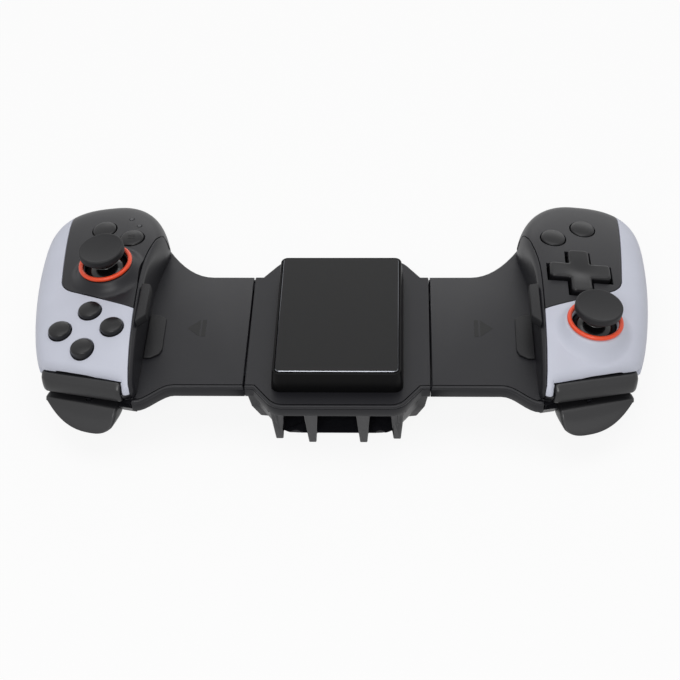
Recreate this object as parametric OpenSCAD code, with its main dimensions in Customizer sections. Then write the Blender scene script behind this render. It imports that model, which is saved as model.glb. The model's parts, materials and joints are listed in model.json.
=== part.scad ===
// Telescopic phone gamepad with a phone cooler in its middle.
// X runs to the right, Y from the triggers to the palms, Z up. The feet stand on Z = 0.
// Each grip has its own face frame: u outwards, v along Y, w out of the face.

/* [Deck] */
// Height of the deck's underside above the ground
deck_under = 16.6; // [16:0.1:18]
// Thickness of each deck plate
plate_t = 1.2; // [1.1:0.1:1.6]
// Height of the slide space between the deck plates
slide_h = 2; // [1.9:0.1:2.6]
// Depth of the deck at the seams, front to rear
deck_depth = 53.4; // [53:0.2:58]
// Place of the deck's middle line along Y
deck_y = -10.2; // [-12:0.2:-8]
// Half width of the centre piece, out to the seam
seam_x = 30.1; // [29.6:0.1:33]
// Gap at the seam between the centre and a wing
seam_gap = 0.4; // [0.3:0.1:0.8]
// How far the centre bulges past the deck, front and rear
bulge = 8.7; // [7.5:0.1:11]
// Width of the deck's rim walls
deck_wall = 1.5; // [1.2:0.1:2]

/* [Slides] */
// Travel of each half when the gamepad is drawn out
travel = 28; // [20:1:30]
// Length of a fork arm that stays in the centre at full travel
engage = 16; // [12:1:20]
// Width of a fork arm
arm_w = 3.8; // [3:0.1:4.2]
// Thickness of the rib between two arms
lane_rib = 0.9; // [0.7:0.1:1.2]
// Play around a sliding arm, each side
slide_play = 0.2; // [0.15:0.05:0.3]
// Wire radius of a return spring
spring_wire = 0.15; // [0.12:0.01:0.2]
// Mean radius of a return spring's coil
spring_r = 0.6; // [0.5:0.01:0.62]
// Turns of a return spring
spring_turns = 11; // [8:1:12]

/* [Cooler] */
// Width of the cold plate
cold_w = 39.5; // [39:0.5:44]
// Depth of the cold plate
cold_d = 54.7; // [52:0.1:60]
// Thickness of the cold plate
cold_t = 3; // [2:0.1:4]
// Edge chamfer of the cold plate
cold_chamfer = 0.5; // [0.3:0.1:0.8]
// Wall of the cooler frame around the cold plate
frame_wall = 0.95; // [0.8:0.05:1.5]
// Draft of the cooler frame's sides over its height
frame_draft = 0.7; // [0.3:0.1:1.2]
// How far the cold plate stands out of its frame
cold_proud = 0.4; // [0.2:0.1:0.8]
// Side of the square cooling tile
tile_w = 29; // [26:0.5:29.5]
// Thickness of the cooling tile
tile_t = 3.5; // [3:0.1:4]
// Width of the heat sink
sink_w = 37; // [34:0.5:37.5]
// Depth of the heat sink
sink_d = 29.8; // [29.6:0.1:30.2]
// Thickness of the heat sink's base
sink_base = 2.5; // [2:0.1:3]
// Height of the fins
fin_h = 9.5; // [7:0.1:10]
// Thickness of a fin
fin_t = 1; // [0.8:0.1:1.4]
// Number of fins
fin_count = 12; // [8:1:12]

/* [Fan and legs] */
// Gap under the housing floor
floor_gap = 2.5; // [2:0.1:4]
// Thickness of the housing floor
floor_t = 2; // [1.6:0.1:2.6]
// Radius of the fan inlet
inlet_r = 17.2; // [16.8:0.1:17.6]
// Radius of the fan blades
fan_r = 16.8; // [14:0.1:17]
// Height of the fan rotor
fan_h = 4.2; // [3.4:0.1:5]
// Radius of the fan hub
fan_hub_r = 6.5; // [5:0.1:8]
// Radius of the fan spindle
spindle_r = 1.2; // [1:0.1:1.5]
// Number of fan blades
blade_count = 9; // [5:1:11]
// Distance of the inner legs from the middle
leg_inner_x = 8.4; // [7:0.1:10]
// Distance of the outer legs from the middle
leg_outer_x = 19.4; // [17:0.1:20]
// Width of a leg at its foot
leg_foot_w = 2.4; // [2:0.1:3]
// Width of a leg under the deck
leg_top_w = 4.6; // [4:0.1:6]

/* [Grip form] */
// Distance of a grip's face frame from the middle
face_x = 82; // [80:0.5:90]
// Height of a grip's crown above the deck
face_rise = 12.3; // [11.5:0.1:15]
// Outward tilt of a grip's face
face_tilt = 6; // [3:0.5:8]
// Reach of the grip to its outer side
grip_out = 23.7; // [23:0.1:28]
// Reach of the grip to its inner side
grip_in = 20.5; // [19.5:0.1:21]
// Reach of the grip to the rear
grip_rear = 28.8; // [28:0.1:34]
// Reach of the grip to the front
grip_front = 63.7; // [62:0.1:66]
// Place along Y that the grip's reaches are measured from
grip_mid = 20; // [18:0.5:22]
// Radius of the crown along Y
crown_r = 290; // [220:10:500]
// Place of the crown's crest along Y
crest_v = 4.5; // [0:0.5:8]
// Depth of the parting line below the crown
parting = 12; // [11:0.5:13]
// Depth of the palm below the parting line
palm_depth = 20.7; // [18:0.1:23]
// Place of the deepest part of the palm along Y
palm_v = 14; // [8:1:18]
// Lengthwise radius of the palm
palm_r = 150; // [120:5:220]
// Wall of the grip shells
shell_t = 2; // [1.6:0.1:2.4]
// Gap between neighbouring shells
shell_gap = 0.2; // [0.1:0.05:0.3]
// Distance from the face frame in to the shells' inner edge
wall_u = 14.6; // [14.2:0.1:15]
// Thickness of the phone wall
wall_t = 1.5; // [1.2:0.1:1.8]
// Distance from the face frame out to the panel's outer edge
panel_u = 12.2; // [11.5:0.1:13]

/* [Controls] */
// Diameter of a face button
face_button_d = 7.5; // [6.8:0.1:8.2]
// Distance of a face button from the cluster's middle
face_pitch = 8.7; // [8:0.1:9]
// Distance of a face button from the cluster's middle along Y
face_pitch_v = 7.6; // [7.4:0.1:8.4]
// Height of a face button above the shell
face_button_proud = 1.5; // [1.4:0.1:2.6]
// Diameter of a function button
function_d = 8.3; // [7:0.1:9]
// Height of a function button above the panel
function_proud = 0.7; // [0.4:0.1:1.5]
// Gap around a button
button_gap = 0.3; // [0.25:0.05:0.5]
// Travel of a face button
face_travel = 1.2; // [0.8:0.1:1.4]
// Length of the direction pad
pad_len = 20.4; // [18:0.2:21]
// Width of an arm of the direction pad
pad_arm = 7.1; // [6:0.1:8]
// Height of the direction pad above the panel
pad_proud = 1.6; // [1:0.1:2.4]
// Gap around the direction pad
pad_gap = 0.7; // [0.6:0.05:1]
// Radius of the direction pad's pivot ball
pad_ball_r = 1.8; // [1.5:0.1:2]
// Thickness of a circuit board
board_t = 1.4; // [1:0.1:1.6]

/* [Sticks] */
// Diameter of a stick cap
cap_d = 15.4; // [14:0.2:16]
// Height of a stick cap's rim above its shell
cap_top = 10.6; // [10:0.1:11.2]
// Thickness of a stick cap
cap_t = 3; // [2.6:0.1:3.2]
// Depth of the stick's pivot below the shell
pivot_deep = 6; // [5.8:0.1:6.2]
// Radius of the stick dome about its pivot
dome_r = 10.4; // [10.3:0.1:10.6]
// Height of the mound around a stick
mound_h = 3.2; // [2.8:0.1:3.4]
// Radius of the mound's top
mound_r = 9.3; // [9.2:0.1:10]
// Middle radius of the stick ring
ring_r = 8.4; // [8.2:0.05:8.5]
// Radius of the stick ring's round bead
ring_bead = 0.75; // [0.6:0.05:0.8]
// Running clearance of pivots
running = 0.05; // [0.03:0.01:0.08]

/* [Triggers] */
// Slant of the grip's front
front_slant = 16.2; // [12:0.2:18]
// Length of a bumper
bumper_len = 29.4; // [27:0.2:30]
// Height of a bumper
bumper_h = 6.2; // [5.6:0.1:6.6]
// Length of a trigger
trigger_len = 26; // [24:0.2:27]
// Reach of a trigger's lip
trigger_reach = 8.2; // [6:0.2:9]
// Height of a trigger at its broadest
trigger_h = 4.8; // [4.6:0.1:5.6]
// Radius of a trigger axle
axle_r = 1.2; // [1:0.1:1.4]
// Radius of a bumper pin
pin_r = 1.1; // [0.9:0.1:1.3]

/* [Hidden] */
$fn = 48;

LIGHT = "#c9c9d6";
DARK = "#34353a";
BLACK = "#1b1b1e";
RUBBER = "#26272a";
ORANGE = "#f0552b";
METAL = "#b9bcc2";
BOARD = "#20543a";
eps = 0.01;
far = 200;

// Deck levels and the cooler's stack, from the ground up
slide_z = deck_under + plate_t;
cover_z = slide_z + slide_h;
deck_z = cover_z + plate_t;
floor_z = floor_gap + floor_t;
stack_gap = 0.4;
fan_base = 1;
fan_z = floor_z + fan_base + stack_gap;
fin_z = fan_z + fan_h + stack_gap;
sink_z = fin_z + fin_h;
tile_z = sink_z + sink_base;
cold_z = tile_z + tile_t;
cold_top = cold_z + cold_t;
frame_top = cold_top - cold_proud;
well_gap = 0.3;
well_x = sink_w / 2 + well_gap;
well_y = sink_d / 2 + well_gap;

// Slide lanes: an inner and an outer one on each side of the cooler's well
lane_w = arm_w + 2 * slide_play;
lane_inner = well_y + lane_rib + lane_w / 2;
lane_outer = lane_inner + lane_w + lane_rib;
lane_edge = lane_outer + lane_w / 2;
arm_end = travel + engage - seam_x;
anchor_x = seam_x - deck_wall;
half_deck = deck_depth / 2;
wing_start = seam_x + seam_gap;

// Grip frame and the front frame that the bumper and trigger follow
face_z = deck_z + face_rise;
rim_w = -parting;
front_u = -wall_u;
front_v = grip_mid - grip_front;
strip_p = 3.2;
board_w = rim_w;

// Places of the controls on the face, as [u, v]
left_stick_at = [-3.5, 5];
right_stick_at = [0.7, -20.8];
face_at = [0.2, -21.1];
face_lean = 0.9;
pad_at = [-1.8, 4.4];
function_outer_at = [1.4, 28.8];
function_inner_at = [-9.3, 22.4];
lights_at = [[-7.5, 34.3], [-10.9, 29.8]];
face_row = face_at + [face_lean / 2, 0];
face_places = [face_at + [face_lean, -face_pitch_v], face_at + [0, face_pitch_v],
  face_row - [face_pitch, 0], face_row + [face_pitch, 0]];

// Fits inside the grips
flange = 0.6;
flange_t = 0.8;
flange_deep = 2.8;
mat_t = 1;
stem_d = 4;
switch_h = 0.5;
ball_deep = 3.4;
cavity_gap = 0.3;
boss_r = 2.6;
screw_r = 0.9;
screw_head_r = 1.7;
screw_hole = 0.2;

// Corner roundness of the grip's outline, as superellipse powers
outer_rear_power = 2.8;
outer_front_power = 10;
inner_rear_power = 2.1;
inner_front_power = 6;
// Roll-off of the top and of the palm towards the parting line
top_power = [7, 2.2];
palm_power = [4, 2.2];
ring_points = 44;
TOP_RINGS = [0.12, 0.4, 0.6, 0.74, 0.85, 0.93, 0.98, 1];
INSIDE_RINGS = [1, 0.95, 0.85, 0.68, 0.4, 0.12];

// Share of the way from the grip's middle to its outline, 1 on the outline, before the plan is drawn in
function spread(u, v, inset = 0) =
  let (
    dv = v - grip_mid,
    a = (u >= 0 ? grip_out : grip_in) - inset,
    b = (dv >= 0 ? grip_rear : grip_front) - inset,
    n = u >= 0 ? (dv >= 0 ? outer_rear_power : outer_front_power)
               : (dv >= 0 ? inner_rear_power : inner_front_power))
  pow(pow(abs(u) / a, n) + pow(abs(dv) / b, n), 1 / n);

// Drawing in of the plan: the front is slanted and the outer side narrows towards it
front_shift = 0.24;
side_draw = 0.0001;
function draw_front(u, v) = front_shift * (u + wall_u) * pow(min(0, v - grip_mid) / grip_front, 2);
function draw_side(v) = 1 - side_draw * pow(min(0, v - grip_mid), 2);
function drawn(u, v) =
  let (dv = v + draw_front(u, v))
  [u > 0 ? u * draw_side(dv) : u, dv];
function plain_v(u, v, guess, turns) =
  turns == 0 ? guess : plain_v(u, v, v - draw_front(u, guess), turns - 1);
function plain(u, v) =
  let (pu = u > 0 ? u / draw_side(v) : u)
  [pu, plain_v(pu, v, v, 10)];
function drawn_spread(u, v, inset = 0) = let (p = plain(u, v)) spread(p[0], p[1], inset);

function roll_off(s, power) = pow(max(0, 1 - pow(min(s, 1), power[0])), 1 / power[1]);
function crown(v) = -pow(v - crest_v, 2) / (2 * crown_r);
function palm(v) = palm_depth - pow(v - palm_v, 2) / (2 * palm_r);

// Height of the face and of the palm at a share of the way out, and at a place on the grip
function face_height(v, share, inset) = rim_w + (crown(v) - inset - rim_w) * roll_off(share, top_power);
function palm_height(v, share, inset) = rim_w - (palm(v) - inset) * roll_off(share, palm_power);
function face_w(u, v) = face_height(v, drawn_spread(u, v), 0);
function palm_w(u, v) = palm_height(v, drawn_spread(u, v), 0);

// One ring of points around the grip, at a share of the way to the outline
function grip_place(i, share, inset) =
  let (
    a = 360 * i / ring_points,
    du = grip_out * cos(a),
    dv = (sin(a) < 0 ? grip_front : grip_rear) * sin(a),
    k = share / spread(du, dv + grip_mid, inset))
  drawn(du * k, dv * k + grip_mid);
function top_ring(share, inset) =
  [for (i = [0:ring_points - 1]) let (p = grip_place(i, share, inset))
    [p[0], p[1], face_height(p[1], share, inset)]];
function palm_ring(share, inset) =
  [for (i = [0:ring_points - 1]) let (p = grip_place(i, share, inset))
    [p[0], p[1], palm_height(p[1], share, inset)]];
function reversed(list) = [for (i = [len(list) - 1:-1:0]) list[i]];
function axis_mean(ring, k) = [for (p = ring) p[k]] * [for (p = ring) 1] / len(ring);
function middle(ring) = [for (k = [0:2]) axis_mean(ring, k)];

// Solid skinned over rings of points, closed by a fan at each end
module skin(rings) {
  n = len(rings[0]);
  last = len(rings) - 1;
  points = concat([for (r = rings) each r], [middle(rings[0]), middle(rings[last])]);
  first_fan = [for (i = [0:n - 1]) [len(points) - 2, (i + 1) % n, i]];
  last_fan = [for (i = [0:n - 1]) [last * n + i, last * n + (i + 1) % n, len(points) - 1]];
  bands = [for (k = [0:last - 1], i = [0:n - 1]) let (j = (i + 1) % n)
    each [[k * n + i, k * n + j, (k + 1) * n + j], [k * n + i, (k + 1) * n + j, (k + 1) * n + i]]];
  polyhedron(points, concat(first_fan, bands, last_fan));
}

// Upper and lower grip shells, and the whole grip as one solid
module top_shell() {
  skin(concat([for (s = TOP_RINGS) top_ring(s, 0)], [for (s = INSIDE_RINGS) top_ring(s, shell_t)]));
}
module palm_shell() {
  skin(concat([for (s = reversed(INSIDE_RINGS)) palm_ring(s, shell_t)],
              [for (s = reversed(TOP_RINGS)) palm_ring(s, 0)]));
}
module grip_solid(inset) {
  skin(concat([for (s = TOP_RINGS) top_ring(s, inset)],
              [for (s = reversed(TOP_RINGS)) if (s < 1) palm_ring(s, inset)]));
}

// Frames of reference
module on_side(side) {
  if (side > 0) children();
  else mirror([1, 0, 0]) children();
}
module face() translate([face_x, 0, face_z]) rotate([0, face_tilt, 0]) children();
module at_place(place) translate([place[0], place[1], face_w(place[0], place[1])]) children();
module front() translate([front_u, front_v, 0]) rotate([0, 0, front_slant]) children();
module along_front(p) translate([p, 0, 0]) rotate([90, 0, 90]) children();

// Plain shapes
module slab(x0, x1, y0, y1, z0, z1) translate([x0, y0, z0]) cube([x1 - x0, y1 - y0, z1 - z0]);
module rod(r, z0, z1) translate([0, 0, z0]) cylinder(r = r, h = z1 - z0);
module plate(z0, z1) translate([0, 0, z0]) linear_extrude(z1 - z0) children();
module round_rect(x, y, r) {
  square([2 * x, 2 * (y - r)], center = true);
  square([2 * (x - r), 2 * y], center = true);
  for (sx = [-1, 1], sy = [-1, 1]) translate([sx * (x - r), sy * (y - r)]) circle(r);
}
// Block whose sides lean in by draft from z0 to z1
module drafted(x, y, z0, z1, draft) {
  intersection() {
    rotate([90, 0, 0]) translate([0, 0, -far / 2]) linear_extrude(far)
      polygon([[-x, z0], [x, z0], [x - draft, z1], [draft - x, z1]]);
    rotate([90, 0, 90]) translate([0, 0, -far / 2]) linear_extrude(far)
      polygon([[-y, z0], [y, z0], [y - draft, z1], [draft - y, z1]]);
  }
}

// Outline of the centre piece: the deck's depth at the seams, bulging front and rear
bulge_r = 7;
bulge_turn = 37;
bulge_flat = 17.2;
arc_steps = 6;
function centre_quarter() =
  let (
    hub = [bulge_flat, half_deck + bulge - bulge_r],
    corner = [for (i = [0:arc_steps]) let (a = 90 - i * (90 - bulge_turn) / arc_steps)
      hub + bulge_r * [cos(a), sin(a)]],
    low = corner[arc_steps],
    shoulder = [low[0] + (low[1] - half_deck) * tan(bulge_turn), half_deck])
  concat(corner, [shoulder, [seam_x, half_deck]]);
function centre_loop() =
  let (
    quarter = centre_quarter(),
    rear = concat([for (p = reversed(quarter)) [-p[0], p[1]]], quarter))
  concat(rear, [for (p = reversed(rear)) [p[0], -p[1]]]);
module centre_outline() polygon(centre_loop());
module centre() translate([0, deck_y, 0]) children();
module well(z0, z1) slab(-well_x, well_x, -well_y, well_y, z0, z1);

// Screws: a flat head with a plain shank, driven along +Z from the head's underside
head_t = 0.7;
shank_in = 0.9;
centre_screw_at = [13.9, 32.2];
module screw(z0, z1) {
  rod(screw_head_r, z0, z0 + head_t);
  rod(screw_r, z0 + head_t - eps, z1);
}
module screw_cut(z0, z1) {
  rod(screw_head_r + screw_hole, z0 - far, z0 + head_t);
  rod(screw_r + screw_hole, z0, z1);
}
module at_centre_screws() {
  for (sx = [-1, 1], sy = [-1, 1])
    translate([sx * centre_screw_at[0], deck_y + sy * centre_screw_at[1], 0]) children();
}
deck_screw_top = cover_z + shank_in;

module centre_cover() {
  color(DARK) difference() {
    centre() difference() {
      plate(cover_z, deck_z) centre_outline();
      well(cover_z - eps, deck_z + eps);
    }
    at_centre_screws() rod(screw_r + screw_hole, cover_z - eps, deck_screw_top + screw_hole);
  }
}

// Legs: fins that stand under the front and rear bulges and hold the floor
leg_back = 22;
leg_set = 0.6;
leg_outer_set = 2.2;
leg_lean = 3.2;
leg_foot_d = 3;
leg_root = 5.5;
module leg(x, set_back) {
  top_y = set_back - half_deck - bulge;
  toe = top_y + leg_lean;
  intersection() {
    translate([x, 0, 0]) rotate([90, 0, 90]) translate([0, 0, -leg_top_w / 2]) linear_extrude(leg_top_w)
      polygon([[top_y, deck_under + eps], [toe, 0], [toe + leg_foot_d, 0],
        [toe + leg_foot_d + 2, floor_gap], [-leg_back, floor_gap], [-leg_back, floor_z],
        [-leg_back - 4, floor_z], [top_y + leg_root, deck_under + eps]]);
    translate([x, far / 2, 0]) rotate([90, 0, 0]) linear_extrude(far)
      polygon([[-leg_foot_w / 2, 0], [leg_foot_w / 2, 0], [leg_top_w / 2, deck_under + eps],
        [-leg_top_w / 2, deck_under + eps]]);
  }
}

// Lower housing: slide channels in the deck, and the fan bowl on its legs below
bowl_wall = 1.8;
bowl_foot = [0.74, 0.835];
bowl_knee = [0.86, 0.90];
bowl_mid = [0.945, 0.945];
bowl_top = [0.98, 0.965];
bowl_knee_z = floor_gap + 2.4;
bowl_mid_z = (deck_under + floor_z) / 2;
window_y = 20;
function bowl_ring(z, size, wall) =
  let (grow_x = size[0] - wall / seam_x, grow_y = size[1] - wall / (half_deck + bulge))
  [for (p = centre_loop()) [p[0] * grow_x, p[1] * grow_y, z]];
module bowl() {
  difference() {
    skin([bowl_ring(floor_gap, bowl_foot, 0), bowl_ring(bowl_knee_z, bowl_knee, 0),
      bowl_ring(bowl_mid_z, bowl_mid, 0), bowl_ring(deck_under + eps, bowl_top, 0)]);
    skin([bowl_ring(floor_z, bowl_knee, bowl_wall + 0.5), bowl_ring(bowl_mid_z, bowl_mid, bowl_wall),
      bowl_ring(deck_under + 1, bowl_top, bowl_wall)]);
    for (sy = [0, 1]) mirror([0, sy, 0])
      slab(-leg_outer_x, leg_outer_x, window_y, far, floor_z, deck_under - 1);
    rod(inlet_r, floor_gap - 1, floor_z + 1);
  }
}
module centre_housing() {
  color(DARK) difference() {
    centre() {
      difference() {
        plate(deck_under, slide_z) centre_outline();
        well(deck_under - eps, slide_z + eps);
      }
      difference() {
        plate(slide_z - eps, cover_z) centre_outline();
        slab(-far, far, -lane_edge, lane_edge, slide_z - 1, cover_z + 1);
      }
      for (sy = [0, 1]) mirror([0, sy, 0]) {
        slab(-seam_x, seam_x, well_y, well_y + lane_rib, slide_z - eps, cover_z);
        slab(-seam_x, seam_x, lane_edge - lane_w - lane_rib, lane_edge - lane_w, slide_z - eps, cover_z);
        for (sx = [-1, 1]) {
          leg(sx * leg_inner_x, leg_set);
          leg(sx * leg_outer_x, leg_outer_set);
        }
      }
      for (turn = [0, 180]) rotate([0, 0, turn])
        slab(-seam_x, -anchor_x, -lane_edge, lane_w - lane_edge, slide_z - eps, cover_z);
      bowl();
    }
    at_centre_screws() screw_cut(deck_under, deck_screw_top);
  }
}
module centre_screws() color(METAL) at_centre_screws() screw(deck_under, deck_screw_top);

// Cooler stack
cold_r = 1.4;
cold_fit = 0.1;
module cooler_frame() {
  half_x = cold_w / 2 + frame_wall + frame_draft;
  half_y = cold_d / 2 + frame_wall + frame_draft;
  color(BLACK) centre() difference() {
    intersection() {
      drafted(half_x, half_y, deck_z, frame_top, frame_draft);
      plate(deck_z - 1, frame_top + 1) round_rect(half_x, half_y, cold_r + frame_wall);
    }
    plate(cold_z, frame_top + 1) round_rect(cold_w / 2 + cold_fit, cold_d / 2 + cold_fit, cold_r);
    well(deck_z - 1, cold_z + eps);
  }
}
module cold_plate() {
  color("#3a3b40") centre() {
    plate(cold_z, cold_top - cold_chamfer) round_rect(cold_w / 2, cold_d / 2, cold_r);
    intersection() {
      drafted(cold_w / 2, cold_d / 2, cold_top - cold_chamfer - eps, cold_top, cold_chamfer);
      plate(cold_z, cold_top + 1) round_rect(cold_w / 2, cold_d / 2, cold_r);
    }
  }
}
module cooling_tile() {
  color("#e8e8e4") centre() slab(-tile_w / 2, tile_w / 2, -tile_w / 2, tile_w / 2, tile_z, cold_z);
}
module heat_sink() {
  pitch = (sink_w - fin_t) / (fin_count - 1);
  color(METAL) centre() {
    slab(-sink_w / 2, sink_w / 2, -sink_d / 2, sink_d / 2, sink_z, tile_z);
    for (i = [0:fin_count - 1])
      translate([i * pitch - sink_w / 2, 0, 0])
        slab(0, fin_t, -sink_d / 2, sink_d / 2, fin_z, sink_z + eps);
  }
}

// Fan: a frame with three spokes and a spindle, and the rotor that turns on it
flange_w = 1.2;
flange_r = inlet_r + 1.4;
spoke_w = 2.4;
spoke_drop = 1.2;
module fan_frame() {
  color(BLACK) centre() {
    difference() {
      rod(flange_r, floor_z, floor_z + fan_base);
      rod(inlet_r - flange_w, floor_z - 1, floor_z + fan_base + 1);
    }
    rod(fan_hub_r - 1, floor_z - spoke_drop, floor_z + fan_base);
    for (a = [90:120:330]) rotate([0, 0, a])
      slab(fan_hub_r - 2, inlet_r - flange_w + 0.5, -spoke_w / 2, spoke_w / 2, floor_z - spoke_drop,
        floor_z + fan_base);
    rod(spindle_r, floor_z + fan_base - eps, fan_z + fan_h - 1);
  }
}
blade_t = 0.8;
blade_pitch = 38;
module fan_rotor() {
  color(BLACK) centre() {
    difference() {
      rod(fan_hub_r, fan_z, fan_z + fan_h);
      rod(spindle_r + running, fan_z - 1, fan_z + fan_h - 0.8);
    }
    intersection() {
      for (i = [0:blade_count - 1]) rotate([0, 0, 360 * i / blade_count])
        translate([fan_hub_r - 0.5, 0, fan_z + fan_h / 2]) rotate([blade_pitch, 0, 0])
          slab(0, fan_r, -fan_h, fan_h, -blade_t / 2, blade_t / 2);
      rod(fan_r, fan_z + 0.1, fan_z + fan_h - 0.1);
    }
  }
}

// Wings: a flat outline that flares into the grip at its outer end
function wall_x(z) = face_x - wall_u / cos(face_tilt) + (z - face_z) * tan(face_tilt);
wing_end = wall_x(deck_z);
flare_front_len = 12;
flare_rear_len = 17;
flare_rear_end = 4.4;
flare_rear_bend = 0.05;
flare_steps = 8;
flare_front_d = deck_y - half_deck - front_v;
function front_flare(inset) = [for (i = [0:flare_steps]) let (t = i / flare_steps)
  [wing_end - 1 - flare_front_len * (1 - t), inset - half_deck - flare_front_d * (1 - cos(180 * t)) / 2]];
function rear_flare(inset) = [for (i = [0:flare_steps]) let (dx = flare_rear_len * i / flare_steps)
  [wing_end - flare_rear_end - flare_rear_len + dx, half_deck - inset + flare_rear_bend * dx * dx]];
module wing_outline(inset = 0, over = 0) {
  front_edge = front_flare(inset);
  rear_edge = rear_flare(inset);
  x0 = wing_start - over;
  x1 = wing_end + over;
  polygon(concat([[x0, inset - half_deck]], front_edge, [[x1, front_edge[flare_steps][1]]],
    [[x1, rear_edge[flare_steps][1]]], reversed(rear_edge), [[x0, half_deck - inset]]));
}

// Phone wall and the split between light shell and dark panel, seen along w
wall_bend = 0.0053;
wall_step = 4;
split_v = -13;
split_slope = 23;
split_r = 7;
split_fan = 0.1;
split_bend = 0.0006;
function wall_curve(v) = -wall_u - wall_bend * pow(max(0, v), 2);
function wall_line(shift) = concat([[shift - wall_u, -far]],
  [for (v = [0:wall_step:grip_mid + grip_rear]) [wall_curve(v) + shift, v]]);
module phone_side(shift) {
  line = wall_line(shift);
  polygon(concat(line, [[-far, line[len(line) - 1][1]], [-far, -far]]));
}
module wall_band() {
  polygon(concat(wall_line(0), reversed(wall_line(-wall_t))));
}
module panel_area(gap) {
  hub = [panel_u - split_r,
    split_v + (panel_u - split_r + wall_u) * tan(split_slope) + split_r / cos(split_slope)];
  corner = [for (i = [0:arc_steps]) let (a = (split_slope - 90) * (1 - i / arc_steps))
    hub + (split_r - gap) * [cos(a), sin(a)]];
  rear = [for (dv = [4:8:52]) [panel_u - gap + split_fan * dv - split_bend * dv * dv, hub[1] + dv]];
  back = 60;
  polygon(concat([[-back, corner[0][1] - (back + corner[0][0]) * tan(split_slope)]], corner, rear,
    [[-back, rear[len(rear) - 1][1]]]));
}

// Screws of a wing and of a grip, in the wing's and the face's frames
wing_screw_x = [6, 20];
wing_screw_y = 19;
grip_screw_at = [[6, 40], [10.5, 17], [13.5, -14]];
pocket_deep = 4.5;
module at_wing_screws() {
  for (dx = wing_screw_x, sy = [-1, 1])
    translate([wing_start + dx, deck_y + sy * wing_screw_y, 0]) children();
}
function pocket_w(place) = palm_w(place[0], place[1]) + pocket_deep;
grip_screw_top = board_w + 3;

module wing_frame() {
  difference() {
    union() {
      centre() plate(cover_z, deck_z) wing_outline();
      intersection() {
        face() intersection() {
          grip_solid(0);
          plate(rim_w - 8, 4) wall_band();
        }
        slab(0, far, -far, far, cover_z, far);
      }
    }
    at_wing_screws() rod(screw_r + screw_hole, cover_z - eps, deck_screw_top + screw_hole);
  }
}
module wing_cover() {
  difference() {
    centre() {
      plate(deck_under, slide_z) wing_outline();
      difference() {
        plate(slide_z - eps, cover_z) wing_outline();
        plate(slide_z - 1, cover_z + 1) wing_outline(deck_wall, 1);
      }
    }
    at_wing_screws() screw_cut(deck_under, deck_screw_top);
  }
}

// Fork: a web clamped in the wing, with two arms that run in the centre's lanes
fork_len = 26;
web_rim = 9;
module slide_fork() {
  web_y = half_deck - deck_wall - slide_play;
  difference() {
    centre() {
      difference() {
        slab(wing_start + slide_play, wing_start + fork_len, -web_y, web_y, slide_z, cover_z);
        slab(wing_start + web_rim, wing_start + fork_len - web_rim, -well_y, well_y,
          slide_z - 1, cover_z + 1);
      }
      for (y = [-lane_outer, lane_inner])
        slab(-arm_end, wing_start + 1, y - arm_w / 2, y + arm_w / 2,
          slide_z + slide_play, cover_z - slide_play);
    }
    at_wing_screws() rod(screw_r + screw_hole, slide_z - 1, cover_z + 1);
  }
}

// Return spring: one unbroken helix between the arm's end and the centre's anchor
spring_seat = 0.3;
curl_rings = 8;
wire_sides = 6;
spring_len = anchor_x - arm_end - 2 * (spring_seat + spring_wire);
function helix(t) = [t * spring_len / spring_turns, spring_r * cos(360 * t), spring_r * sin(360 * t)];
function wire_ring(t) =
  let (
    place = helix(t),
    out = [0, cos(360 * t), sin(360 * t)],
    side = [1, 0, 0])
  [for (i = [0:wire_sides - 1]) let (a = 360 * i / wire_sides)
    place + spring_wire * (cos(a) * out + sin(a) * side)];
module return_spring() {
  echo(spring_least_gap = spring_len / spring_turns - 2 * spring_wire);
  centre() translate([arm_end + spring_seat + spring_wire, lane_outer, slide_z + slide_h / 2])
    skin([for (k = [0:spring_turns * curl_rings]) wire_ring(k / curl_rings)]);
}

// Bumper and trigger levels in the front frame, p along the front, q into the grip
bumper_top = -9;
bumper_low = bumper_top - bumper_h;
bumper_d = 4.6;
bumper_edge = 3;
bay_gap = 0.4;
bay_q = 9.5;
bay_wall = 1.4;
bay_p = strip_p + bay_gap;
shelf_top = bumper_low - bay_gap;
shelf_low = shelf_top - bay_wall;
pin_at = [strip_p + 2.4, 2.6];
pin_len = 2.6;
axle_at = [3.4, shelf_low - 2.6];
trigger_p = strip_p + 2.8;
block_p = 0.8;
lug_p = 16;
lug_t = 1.6;
lug_gap = 0.3;

module light_shell_blank() {
  difference() {
    top_shell();
    plate(-far / 4, far / 4) phone_side(shell_gap);
    plate(-far / 4, far / 4) panel_area(-shell_gap);
    front() {
      slab(strip_p, far, -far / 4, bumper_edge + bay_gap, -far / 4, far / 4);
      slab(strip_p, far, -far / 4, bumper_d + 1.4, -far / 4, bumper_top + bay_gap);
    }
  }
}
module dark_panel_blank() {
  difference() {
    intersection() {
      top_shell();
      plate(-far / 4, far / 4) panel_area(0);
    }
    plate(-far / 4, far / 4) phone_side(shell_gap);
  }
}
// Posts under a top shell that take the grip's screws
module top_boss(place) {
  difference() {
    intersection() {
      translate([place[0], place[1], 0]) rod(boss_r, board_w, 0);
      grip_solid(shell_t / 2);
    }
    translate([place[0], place[1], 0]) rod(screw_r + screw_hole, board_w - 1, grip_screw_top + screw_hole);
  }
}

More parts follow.
